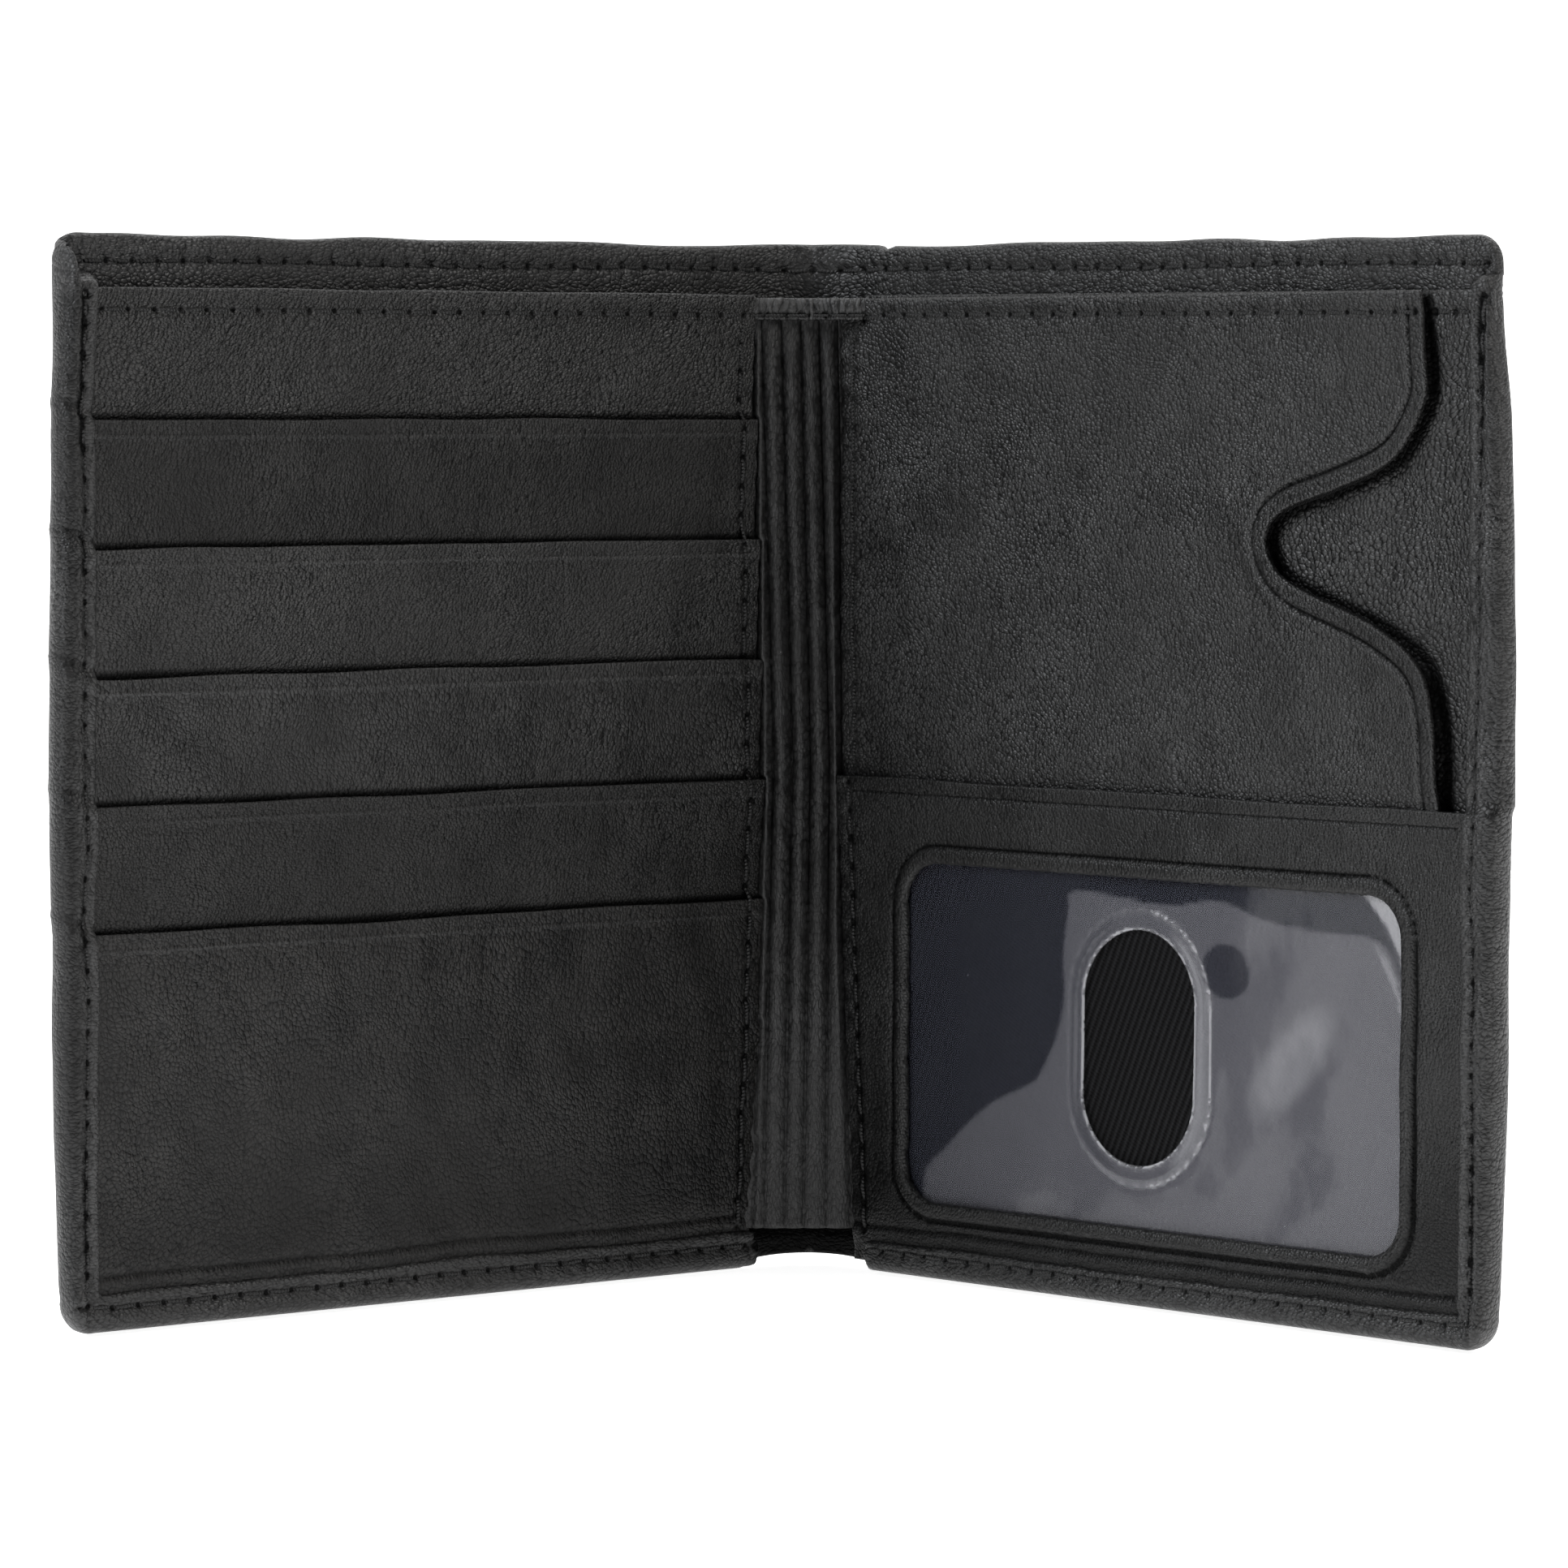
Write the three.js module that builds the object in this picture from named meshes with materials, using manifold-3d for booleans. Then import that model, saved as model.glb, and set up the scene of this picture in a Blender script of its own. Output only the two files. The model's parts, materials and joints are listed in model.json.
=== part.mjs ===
// Two-leaf leather wallet, standing open like a book on its bottom edges.
//
// Frame: millimetres, +Z up, +X to the right, +Y away from the open side. The spine is at the
// back, the leaves reach forward, and the origin is at the middle of the bottom of the box.
//
// Each leaf is drawn flat in its own (u, z, v) coordinates: u runs outwards from the fold line,
// z runs up, and v runs from the outside of the cover to the inside of the wallet, with v = 0 on
// the inner surface of the cover. The left leaf is the mirror image of a right leaf's layout.

import * as THREE from 'three';
import { mergeVertices } from 'three/addons/utils/BufferGeometryUtils.js';
import Module from 'manifold-3d';

const wasm = await Module();
wasm.setup();

// ---------------------------------------------------------------- driving dimensions

const HEIGHT = 120; // cover, bottom edge to top edge
const LEAF_WIDTH = 97.5; // fold line to the outer edge of a leaf
const OPEN_ANGLE = THREE.MathUtils.degToRad(41); // leaf to the plane through both fold lines
const HALF_SPINE = 6; // middle of the spine to a fold line
const FOLD_GAP = 0.15; // at the fold line, on the inner surface
const FOLD_BEVEL = Math.tan(THREE.MathUtils.degToRad(22.5)); // leaves room for the fold to open
const CORNER_RADIUS = 4; // outer corners of the cover
const GAP = 0.05; // between layers that lie on each other
const CLEARANCE = 0.3; // between a panel's edge and the hem that wraps it

const COVER_OUT = -1.7; // outer surface of the cover leather
const COVER_IN = -0.7; // its inner surface
const STIFFENER = [-0.65, -0.35]; // v of the back and front of each flat layer
const COVER_LINING = [-0.3, -0.05];
const FACING_IN = -0.1; // inner surface of the cover leather where it is turned in
const FACING_DEPTH = 12; // how far the turned-in leather reaches down from the top

const HEM_IN = 3.35; // hem folded over the edges of the inner panels
const HEM_OUT = 4.15;
const HEM_WALL = 0.9; // leather around the edge
const HEM_TOP = 115.3; // upper end of the side hem
const SIDE_HEM = 5; // width of the side hem
const BOTTOM_HEM = 4; // height of the bottom hem
const HEM_EDGE_RADIUS = 1.6;

const PANEL_START = 1.8; // spine-side edge of the inner panels
const PANEL_END = LEAF_WIDTH - HEM_WALL - CLEARANCE;
const PANEL_BOTTOM = HEM_WALL + CLEARANCE;
const PANEL_TOP = 114.8;
const LINING_TOP = 112.5;

const SLOT_COUNT = 5;
const SLOT_PITCH = 14.1;
const TOP_SLOT_MOUTH = 100.3; // top edge of the highest card slot
const STRIP_HEIGHT = 20;
const STRIP_THICKNESS = 0.5;
const SLOT_DEPTH = 40;
const SLOT_LINING_THICKNESS = 0.12;
const SLOT_LINING_FLOOR = 0.3; // lowest v that a slot lining reaches

const SIDE_LINING = [1.0, 1.15];
const BASE_PANEL = [0.3, 0.95];
const SIDE_POCKET = [1.2, 1.95];
const SIDE_POCKET_BOTTOM = 52;
const SIDE_POCKET_TOP_END = 86; // free corner of the side pocket
const ID_BACKING = [1.2, 1.5];
const ID_FILM = [2.03, 2.25];
const ID_FRAME = [2.3, 3.0];
const ID_POCKET_TOP = 58.4;
const DIVIDER_LINING = [0.05, 0.25];
const WINDOW = { left: 10.4, right: 84.5, bottom: 9, top: 48.7, radius: 4.8 };
const THUMB_HOLE = { left: 38.6, right: 55, bottom: 16, top: 43.2 };

const GUSSET_HALF_WIDTH = 5.9;
const GUSSET_END_DEPTH = -2.4; // y of its two side edges, from the fold lines
const GUSSET_BOW = 1.6; // how far its middle stands forward of its edges
const GUSSET_RIBS = 5;
const RIB_HEIGHT = 0.3; // half of a rib's depth
const GUSSET_THICKNESS = 0.6;
const GUSSET_BOTTOM = 4.8;
const GUSSET_TOP = 109.6;
const BINDING_TOP = 113.6;
const BINDING_THICKNESS = 1.4;
const BINDING_HALF_WIDTH = 5.2;
const SPINE_ARCH = 1.1; // how far the spine's bottom edge lifts in the middle

const STITCH_PITCH = 3.35;
const THREAD_WIDTH = 0.5;
const THREAD_DIP = 0.1; // thread height at a hole
const THREAD_RISE = 0.32; // thread height on a stitch
const STITCH_SAG = 0.12; // room for the bow between two holes of the binding's row

// ---------------------------------------------------------------- materials

const leather = (color, roughness) =>
  new THREE.MeshStandardMaterial({ color, roughness, metalness: 0 });

const COVER_LEATHER = leather(0x232326, 0.62);
const PANEL_LEATHER = leather(0x29292c, 0.58);
const GUSSET_LEATHER = leather(0x2e2e30, 0.66);
const LINING_FABRIC = leather(0x1b1b1f, 0.85);
const TWILL_FABRIC = leather(0x1c1c26, 0.8);
const BOARD = leather(0x6d6558, 0.9);
const THREAD = leather(0x151517, 0.7);
const CLEAR_FILM = new THREE.MeshStandardMaterial({
  color: 0xdfe3ea,
  roughness: 0.12,
  metalness: 0,
  transparent: true,
  opacity: 0.35,
});

// ---------------------------------------------------------------- shape helpers

/** Keeps only positions, with shared vertices merged, so that the surface is closed. */
function weld(geometry) {
  geometry.deleteAttribute('normal');
  geometry.deleteAttribute('uv');
  return mergeVertices(geometry, 1e-4);
}

function toSolid(geometry) {
  const welded = weld(geometry);
  return new wasm.Manifold(
    new wasm.Mesh({
      numProp: 3,
      vertProperties: new Float32Array(welded.attributes.position.array),
      triVerts: new Uint32Array(welded.index.array),
    })
  );
}

function fromSolid(solid) {
  const mesh = solid.getMesh();
  const geometry = new THREE.BufferGeometry();
  geometry.setAttribute('position', new THREE.BufferAttribute(mesh.vertProperties, 3));
  geometry.setIndex(new THREE.BufferAttribute(mesh.triVerts, 1));
  return geometry;
}

function joined(geometries) {
  return geometries.map(toSolid).reduce((all, next) => all.add(next));
}

function polygon(points) {
  return new THREE.Shape(points.map(([x, y]) => new THREE.Vector2(x, y)));
}

function extrude(shape, depth, curveSegments = 6) {
  return new THREE.ExtrudeGeometry(shape, { depth, bevelEnabled: false, curveSegments });
}

/** A flat sheet: an outline in (u, z), between two values of v. */
function flatSheet(shape, [back, front], curveSegments) {
  return extrude(shape, front - back, curveSegments).translate(0, 0, back);
}

/** A section in (u, v), carried up from one z to another. */
function carriedUp(section, bottom, top) {
  const flipped = section.map(([u, v]) => [u, -v]);
  return extrude(polygon(flipped), top - bottom)
    .rotateX(-Math.PI / 2)
    .translate(0, bottom, 0);
}

/** A section in (v, z), carried outwards from one u to another. */
function carriedOut(section, start, end) {
  const flipped = section.map(([v, z]) => [-v, z]);
  return extrude(polygon(flipped), end - start)
    .rotateY(Math.PI / 2)
    .translate(start, 0, 0);
}

function rectangle(left, right, bottom, top) {
  return polygon([[left, bottom], [right, bottom], [right, top], [left, top]]);
}

/** A rectangle with round corners, as a shape or a hole. */
function roundedRectangle({ left, right, bottom, top, radius }, path = new THREE.Shape()) {
  path.moveTo(left + radius, bottom);
  path.lineTo(right - radius, bottom);
  path.absarc(right - radius, bottom + radius, radius, -Math.PI / 2, 0);
  path.lineTo(right, top - radius);
  path.absarc(right - radius, top - radius, radius, 0, Math.PI / 2);
  path.lineTo(left + radius, top);
  path.absarc(left + radius, top - radius, radius, Math.PI / 2, Math.PI);
  path.lineTo(left, bottom + radius);
  path.absarc(left + radius, bottom + radius, radius, Math.PI, Math.PI * 1.5);
  return path;
}

/** Points on an arc, ends included. */
function arcPoints(centreX, centreY, radius, from, to, steps) {
  return Array.from({ length: steps + 1 }, (_, i) => {
    const angle = from + ((to - from) * i) / steps;
    return [centreX + radius * Math.cos(angle), centreY + radius * Math.sin(angle)];
  });
}

// ---------------------------------------------------------------- stitching

/** Side view of a row of stitches, in (distance, height): it rises between two holes. */
function stitchOutline(length) {
  const count = Math.max(1, Math.round(length / STITCH_PITCH));
  const step = length / count;
  const under = Array.from({ length: count + 1 }, (_, i) => [i * step, 0]);
  const over = [[length, THREAD_DIP]];
  for (let i = count - 1; i >= 0; i--) {
    over.push([(i + 0.5) * step, THREAD_RISE], [i * step, THREAD_DIP]);
  }
  return [...under, ...over];
}

/** A straight row of stitches along +X from 0, standing on z = 0 and centred on y = 0. */
function stitchRow(length) {
  return extrude(polygon(stitchOutline(length)), THREAD_WIDTH)
    .translate(0, 0, -THREAD_WIDTH / 2)
    .rotateX(Math.PI / 2);
}

/** A level row whose side view follows a curve: pointAt(distance from its middle, height). */
function curvedRow(length, z, pointAt) {
  const points = stitchOutline(length).map(([x, height]) => pointAt(x - length / 2, height + GAP));
  return extrude(polygon(points), THREAD_WIDTH).translate(0, 0, z - THREAD_WIDTH / 2);
}

/** A horizontal row on a leaf, from one u to another, standing on a surface at v. */
function rowAcross(start, end, z, v) {
  return stitchRow(end - start).translate(start, z, v + GAP);
}

/** A vertical row on a leaf, from one z to another, standing on a surface at v. */
function rowUp(bottom, top, u, v) {
  return stitchRow(top - bottom).rotateZ(Math.PI / 2).translate(u, bottom, v + GAP);
}

/** Two rows of one thread that turn a corner. */
function cornerRows(across, up) {
  return fromSolid(joined([across, up]));
}

// ---------------------------------------------------------------- cover

/** Outline of a cover leaf, with its outer corners rounded. */
function coverOutline() {
  const shape = new THREE.Shape();
  const r = CORNER_RADIUS;
  shape.moveTo(0, 0);
  shape.lineTo(LEAF_WIDTH - r, 0);
  shape.absarc(LEAF_WIDTH - r, r, r, -Math.PI / 2, 0);
  shape.lineTo(LEAF_WIDTH, HEIGHT - r);
  shape.absarc(LEAF_WIDTH - r, HEIGHT - r, r, 0, Math.PI / 2);
  shape.lineTo(0, HEIGHT);
  return shape;
}

/** Section of a flat layer of the cover, bevelled at the fold. Distances are (outwards, v). */
function foldedLayer(back, front) {
  return [
    [FOLD_GAP - back * FOLD_BEVEL, back],
    [LEAF_WIDTH, back],
    [LEAF_WIDTH, front],
    [FOLD_GAP - front * FOLD_BEVEL, front],
  ];
}

/** Section of a hem wrapped around an edge at distance `edge`: (distance, v). */
function hemSection(edge, width) {
  const wall = edge - HEM_WALL;
  return [
    [wall - 1, COVER_OUT],
    [edge, COVER_OUT],
    [edge, HEM_OUT],
    [edge - width, HEM_OUT],
    [edge - width, HEM_IN],
    [wall, HEM_IN],
    [wall, COVER_IN],
    [wall - 1, COVER_IN],
  ];
}

/** The room that a leaf's cover fills, with its edges rounded over its thickness. */
function coverEnvelope() {
  const thickness = { left: COVER_OUT, right: HEM_OUT, radius: HEM_EDGE_RADIUS };
  const acrossLeaf = roundedRectangle({ ...thickness, bottom: -LEAF_WIDTH, top: LEAF_WIDTH });
  const upLeaf = roundedRectangle({ ...thickness, bottom: 0, top: HEIGHT });
  const points = (shape) => shape.getPoints(4).map(({ x, y }) => [x, y]);
  return [
    flatSheet(coverOutline(), [COVER_OUT, HEM_OUT]),
    carriedUp(points(acrossLeaf).map(([v, u]) => [u, v]), 0, HEIGHT),
    carriedOut(points(upLeaf), 0, LEAF_WIDTH),
  ];
}

/** Cover leather of one leaf: outer panel, turned-in top, side hem and bottom hem. */
function coverLeaf() {
  // the bottom hem is the same wrap as the side hem, about the edge z = 0
  const bottomSection = hemSection(0, BOTTOM_HEM).map(([edge, v]) => [v, -edge]);
  const solid = joined([
    carriedUp(foldedLayer(COVER_OUT, COVER_IN), 0, HEIGHT),
    carriedUp(foldedLayer(COVER_IN - GAP, FACING_IN), HEIGHT - FACING_DEPTH, HEIGHT),
    carriedUp(hemSection(LEAF_WIDTH, SIDE_HEM), 0, HEM_TOP),
    carriedOut(bottomSection, PANEL_START, LEAF_WIDTH),
  ]);
  return fromSolid(coverEnvelope().map(toSolid).reduce((all, next) => all.intersect(next), solid));
}

/** A layer glued to the inside of the cover, between the bottom hem and the turned-in top. */
function coverLayer([back, front]) {
  const top = HEIGHT - FACING_DEPTH - CLEARANCE;
  const start = FOLD_GAP - back * FOLD_BEVEL;
  return flatSheet(rectangle(start, PANEL_END, PANEL_BOTTOM, top), [back, front]);
}

// ---------------------------------------------------------------- card side (left leaf)

const SLOT_STEP = STRIP_THICKNESS + SLOT_LINING_THICKNESS + 2 * GAP;
const SLOT_SLOPE = SLOT_STEP / SLOT_PITCH; // each strip leans outwards over the one below
const LINING_AT_MOUTH = SLOT_LINING_FLOOR + SLOT_DEPTH * SLOT_SLOPE;
const STRIP_AT_MOUTH = LINING_AT_MOUTH + SLOT_LINING_THICKNESS + GAP;
const CARD_FACE = STRIP_AT_MOUTH + STRIP_THICKNESS;

/** A leaning sheet: v at its mouth, thickness, and its mouth, top and bottom heights. */
function leaningSheet(backAtMouth, thickness, mouth, top, bottom) {
  const back = (z) => backAtMouth - (mouth - z) * SLOT_SLOPE;
  const section = [
    [back(bottom), bottom],
    [back(bottom) + thickness, bottom],
    [back(top) + thickness, top],
    [back(top), top],
  ];
  return carriedOut(section, PANEL_START, PANEL_END);
}

const slotMouth = (number) => TOP_SLOT_MOUTH - (number - 1) * SLOT_PITCH;

function cardStrip(number) {
  const mouth = slotMouth(number);
  const top = number === 0 ? PANEL_TOP : mouth;
  const bottom = number === SLOT_COUNT ? PANEL_BOTTOM : mouth - STRIP_HEIGHT;
  return leaningSheet(STRIP_AT_MOUTH, STRIP_THICKNESS, mouth, top, bottom);
}

function cardLining(number) {
  const mouth = slotMouth(number);
  const bottom = Math.max(mouth - SLOT_DEPTH, PANEL_BOTTOM);
  return leaningSheet(LINING_AT_MOUTH, SLOT_LINING_THICKNESS, mouth, mouth - 1, bottom);
}

/** Back of the card side: upright behind the slots, then leaning with the top strip. */
function cardDividerLining() {
  const bend = slotMouth(0) - (LINING_AT_MOUTH - GAP) / SLOT_SLOPE;
  const lean = LINING_AT_MOUTH - (slotMouth(0) - LINING_TOP) * SLOT_SLOPE;
  const thickness = SLOT_LINING_THICKNESS;
  const section = [
    [GAP, PANEL_BOTTOM],
    [GAP + thickness, PANEL_BOTTOM],
    [GAP + thickness, bend],
    [lean + thickness, LINING_TOP],
    [lean, LINING_TOP],
    [GAP, bend],
  ];
  return carriedOut(section, PANEL_START, PANEL_END);
}

// ---------------------------------------------------------------- pocket side (right leaf)

/** Free edge of the side pocket, from its top corner down: an S with a thumb notch. */
const SIDE_POCKET_EDGE = [
  [86.8, 103],
  [83.2, 97.2],
  [75.7, 93.7],
  [68.2, 91.4],
  [65.7, 88.4],
  [69.9, 83.4],
  [80.9, 78.6],
  [87.4, 74.4],
  [90.1, 68.9],
  [90.8, 59.2],
];

/** The side pocket's outline; its lining has the same one, drawn back by `inset`. */
function sidePocketShape(inset = 0) {
  const edge = SIDE_POCKET_EDGE.map(([u, z]) => new THREE.Vector2(u - inset, z));
  const shape = new THREE.Shape();
  shape.moveTo(PANEL_START, SIDE_POCKET_BOTTOM);
  shape.lineTo(PANEL_START, PANEL_TOP - inset);
  shape.lineTo(SIDE_POCKET_TOP_END - inset, PANEL_TOP - inset);
  shape.lineTo(edge[0].x, edge[0].y);
  shape.splineThru(edge.slice(1));
  shape.lineTo(edge.at(-1).x, SIDE_POCKET_BOTTOM);
  return shape;
}

function idFrameShape() {
  const shape = rectangle(PANEL_START, PANEL_END, PANEL_BOTTOM, ID_POCKET_TOP);
  shape.holes.push(roundedRectangle(WINDOW, new THREE.Path()));
  return shape;
}

function idFilmShape() {
  const shape = rectangle(WINDOW.left - 4, WINDOW.right + 4, WINDOW.bottom - 4, WINDOW.top + 4);
  const radius = (THUMB_HOLE.right - THUMB_HOLE.left) / 2;
  shape.holes.push(roundedRectangle({ ...THUMB_HOLE, radius }, new THREE.Path()));
  return shape;
}

function panelSheet(layer, bottom, top) {
  return flatSheet(rectangle(PANEL_START, PANEL_END, bottom, top), layer);
}

// ---------------------------------------------------------------- spine

const SPINE_RADIUS = HALF_SPINE / Math.sin(OPEN_ANGLE); // of the curve tangent to both leaves
const SPINE_CENTRE = -SPINE_RADIUS * Math.cos(OPEN_ANGLE);

/** A curved layer of the spine between two values of v, carried up. */
function spineLayer([back, front], bottom, top) {
  const reach = (v) => OPEN_ANGLE - (FOLD_GAP - v * FOLD_BEVEL) / (SPINE_RADIUS - v);
  const arc = (v, sign) => {
    const half = sign * reach(v);
    return arcPoints(0, SPINE_CENTRE, SPINE_RADIUS - v, Math.PI / 2 - half, Math.PI / 2 + half, 8);
  };
  return extrude(polygon([...arc(back, 1), ...arc(front, -1)]), top - bottom).translate(0, 0, bottom);
}

/** The round bar that the spine's bottom edge arches over. */
function archBar() {
  const radius = (HALF_SPINE ** 2 + SPINE_ARCH ** 2) / (2 * SPINE_ARCH);
  return new THREE.CylinderGeometry(radius, radius, 4 * HALF_SPINE, 96)
    .translate(0, 0, SPINE_ARCH - radius);
}

function coverSpine() {
  const solid = joined([
    spineLayer([COVER_OUT, COVER_IN], 0, HEIGHT),
    spineLayer([COVER_IN - GAP, FACING_IN], HEIGHT - FACING_DEPTH, HEIGHT),
    spineLayer([COVER_IN - GAP, FACING_IN], 0, BOTTOM_HEM),
  ]);
  return fromSolid(solid.subtract(toSolid(archBar())));
}

/** y of the gusset's middle surface, from the fold lines. */
const gussetBow = (x) => GUSSET_END_DEPTH - GUSSET_BOW * (1 - (x / GUSSET_HALF_WIDTH) ** 2);

/** A sheet along the gusset's bow. Its front and back are measured back from the middle surface. */
function spanningSheet(sheet) {
  const { front, back, bottom, top, halfWidth = GUSSET_HALF_WIDTH, ripple = 0, steps = 10 } = sheet;
  const xs = Array.from({ length: steps + 1 }, (_, i) => halfWidth * ((2 * i) / steps - 1));
  const middle = (x) => gussetBow(x) + ripple * Math.cos((x / halfWidth + 1) * GUSSET_RIBS * Math.PI);
  const frontEdge = xs.map((x) => [x, middle(x) + front]);
  const backEdge = xs.map((x) => [x, middle(x) + back]).reverse();
  return extrude(polygon([...frontEdge, ...backEdge]), top - bottom).translate(0, 0, bottom);
}

function coverSpineRow(z) {
  const radius = SPINE_RADIUS - FACING_IN;
  const length = 2 * (radius * OPEN_ANGLE - 1);
  return curvedRow(length, z, (along, height) => {
    const angle = Math.PI / 2 - along / radius; // runs left to right
    const r = radius - height;
    return [r * Math.cos(angle), SPINE_CENTRE + r * Math.sin(angle)];
  });
}

function bindingRow(z) {
  const face = BINDING_THICKNESS / 2 + STITCH_SAG;
  const length = 2 * BINDING_HALF_WIDTH - 1;
  return curvedRow(length, z, (along, height) => [along, gussetBow(along) - face - height]);
}

// ---------------------------------------------------------------- assembly

/** Turns every face over, for a geometry that has been mirrored. */
function turnFaces(geometry) {
  const index = geometry.index.array;
  for (let i = 0; i < index.length; i += 3) {
    [index[i], index[i + 1]] = [index[i + 1], index[i]];
  }
  return geometry;
}

function named(name, geometry, material) {
  const mesh = new THREE.Mesh(geometry, material);
  mesh.name = name;
  return mesh;
}

/** A leaf's group turns (u, z, v) into the wallet's frame; side is -1 on the left, 1 on the right. */
function leafGroup(side, pieces) {
  const plane = new THREE.Group();
  plane.rotation.x = Math.PI / 2;
  for (const [name, geometry, material] of pieces) {
    const welded = weld(geometry);
    plane.add(named(name, side > 0 ? welded : turnFaces(welded.scale(-1, 1, 1)), material));
  }
  const leaf = new THREE.Group();
  leaf.position.x = side * HALF_SPINE;
  leaf.rotation.z = -side * OPEN_ANGLE;
  leaf.add(plane);
  return leaf;
}

const SIDE_STITCH = LEAF_WIDTH - 3.4;
const BOTTOM_STITCH = 2.6;
const COVER_TOP_STITCH = 117.7;
const PANEL_TOP_STITCH = 112.4;
const SPINE_SIDE_STITCH = PANEL_START + 2;
const ROW_END = LEAF_WIDTH - SIDE_HEM - 0.4; // rows on the panels stop short of the side hem

/** What both leaves have: cover, board, lining, hem stitching and top stitching. */
function coverPieces(suffix) {
  const hemRows = cornerRows(
    rowAcross(PANEL_START + 1, SIDE_STITCH, BOTTOM_STITCH, HEM_OUT),
    rowUp(BOTTOM_STITCH, HEM_TOP - 1.5, SIDE_STITCH, HEM_OUT)
  );
  const topRow = rowAcross(1.5, LEAF_WIDTH - 2.5, COVER_TOP_STITCH, FACING_IN);
  return [
    [`cover_${suffix}`, coverLeaf(), COVER_LEATHER],
    [`stiffener_${suffix}`, coverLayer(STIFFENER), BOARD],
    [`cover_lining_${suffix}`, coverLayer(COVER_LINING), LINING_FABRIC],
    [`hem_thread_${suffix}`, hemRows, THREAD],
    [`cover_top_thread_${suffix}`, topRow, THREAD],
  ];
}

function cardSidePieces() {
  const pieces = [
    ['divider_lining_left', cardDividerLining(), LINING_FABRIC],
    ['card_panel', cardStrip(0), PANEL_LEATHER],
  ];
  for (let number = 1; number <= SLOT_COUNT; number++) {
    pieces.push([`card_slot_${number}`, cardStrip(number), PANEL_LEATHER]);
    pieces.push([`card_slot_lining_${number}`, cardLining(number), LINING_FABRIC]);
  }
  const rows = cornerRows(
    rowAcross(SPINE_SIDE_STITCH, ROW_END, PANEL_TOP_STITCH, CARD_FACE),
    rowUp(BOTTOM_HEM + 1, PANEL_TOP_STITCH, SPINE_SIDE_STITCH, CARD_FACE)
  );
  pieces.push(['card_panel_thread', rows, THREAD]);
  return pieces;
}

function pocketSidePieces() {
  const pocketFace = SIDE_POCKET[1];
  const pocketRows = cornerRows(
    rowAcross(SPINE_SIDE_STITCH, SIDE_POCKET_TOP_END - 1.5, PANEL_TOP_STITCH, pocketFace),
    rowUp(ID_POCKET_TOP + 1, PANEL_TOP_STITCH, SPINE_SIDE_STITCH, pocketFace)
  );
  const idRow = rowUp(BOTTOM_HEM + 1, ID_POCKET_TOP - 1, SPINE_SIDE_STITCH, ID_FRAME[1]);
  const baseRow = rowAcross(SIDE_POCKET_TOP_END + 1.5, ROW_END, PANEL_TOP_STITCH, BASE_PANEL[1]);
  return [
    ['divider_lining_right', panelSheet(DIVIDER_LINING, PANEL_BOTTOM, LINING_TOP), LINING_FABRIC],
    ['base_panel', panelSheet(BASE_PANEL, PANEL_BOTTOM, PANEL_TOP), PANEL_LEATHER],
    ['side_pocket_lining', flatSheet(sidePocketShape(1.2), SIDE_LINING, 4), LINING_FABRIC],
    ['side_pocket_panel', flatSheet(sidePocketShape(), SIDE_POCKET, 4), PANEL_LEATHER],
    ['id_pocket_backing', panelSheet(ID_BACKING, PANEL_BOTTOM, SIDE_POCKET_BOTTOM - 1), TWILL_FABRIC],
    ['id_window_film', flatSheet(idFilmShape(), ID_FILM, 8), CLEAR_FILM],
    ['id_window_frame', flatSheet(idFrameShape(), ID_FRAME), PANEL_LEATHER],
    ['side_pocket_thread', pocketRows, THREAD],
    ['id_pocket_thread', idRow, THREAD],
    ['base_panel_thread', baseRow, THREAD],
  ];
}

function spinePieces() {
  const half = GUSSET_THICKNESS / 2;
  const gusset = { front: -half, back: half, bottom: GUSSET_BOTTOM, top: GUSSET_TOP };
  const liningFront = half + RIB_HEIGHT + GAP;
  const lining = { ...gusset, front: liningFront, back: liningFront + 0.15 };
  const bindingBottom = GUSSET_TOP + CLEARANCE;
  const binding = {
    front: -BINDING_THICKNESS / 2,
    back: BINDING_THICKNESS / 2,
    bottom: bindingBottom,
    top: BINDING_TOP,
    halfWidth: BINDING_HALF_WIDTH,
  };
  const ribbed = { ...gusset, ripple: RIB_HEIGHT, steps: GUSSET_RIBS * 6 };
  const liningTop = HEIGHT - FACING_DEPTH - CLEARANCE;
  const spineLining = spineLayer(COVER_LINING, BOTTOM_HEM + CLEARANCE, liningTop);
  return [
    ['cover_spine', coverSpine(), COVER_LEATHER],
    ['cover_spine_lining', spineLining, LINING_FABRIC],
    ['spine_gusset', spanningSheet(ribbed), GUSSET_LEATHER],
    ['gusset_lining', spanningSheet(lining), LINING_FABRIC],
    ['gusset_binding', spanningSheet(binding), GUSSET_LEATHER],
    ['cover_spine_thread', coverSpineRow(COVER_TOP_STITCH), THREAD],
    ['gusset_binding_thread', bindingRow((bindingBottom + BINDING_TOP) / 2), THREAD],
  ];
}

const wallet = new THREE.Group();
wallet.add(leafGroup(-1, [...coverPieces('left'), ...cardSidePieces()]));
wallet.add(leafGroup(1, [...coverPieces('right'), ...pocketSidePieces()]));
for (const [name, geometry, material] of spinePieces()) {
  wallet.add(named(name, weld(geometry), material));
}

// the fold lines are at y = 0 so far: centre the depth of the box on the origin
wallet.updateMatrixWorld(true);
const box = new THREE.Box3().setFromObject(wallet, true);
wallet.position.y = -(box.min.y + box.max.y) / 2;

export default wallet;
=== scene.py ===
"""A black two-leaf leather wallet standing open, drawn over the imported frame.

Leaf coordinates are in millimetres: u runs outwards from the fold line, z runs up, and v runs
from the outside of the cover to the inside, with v = 0 on the cover's inner surface.
"""

import json
import math

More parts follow.
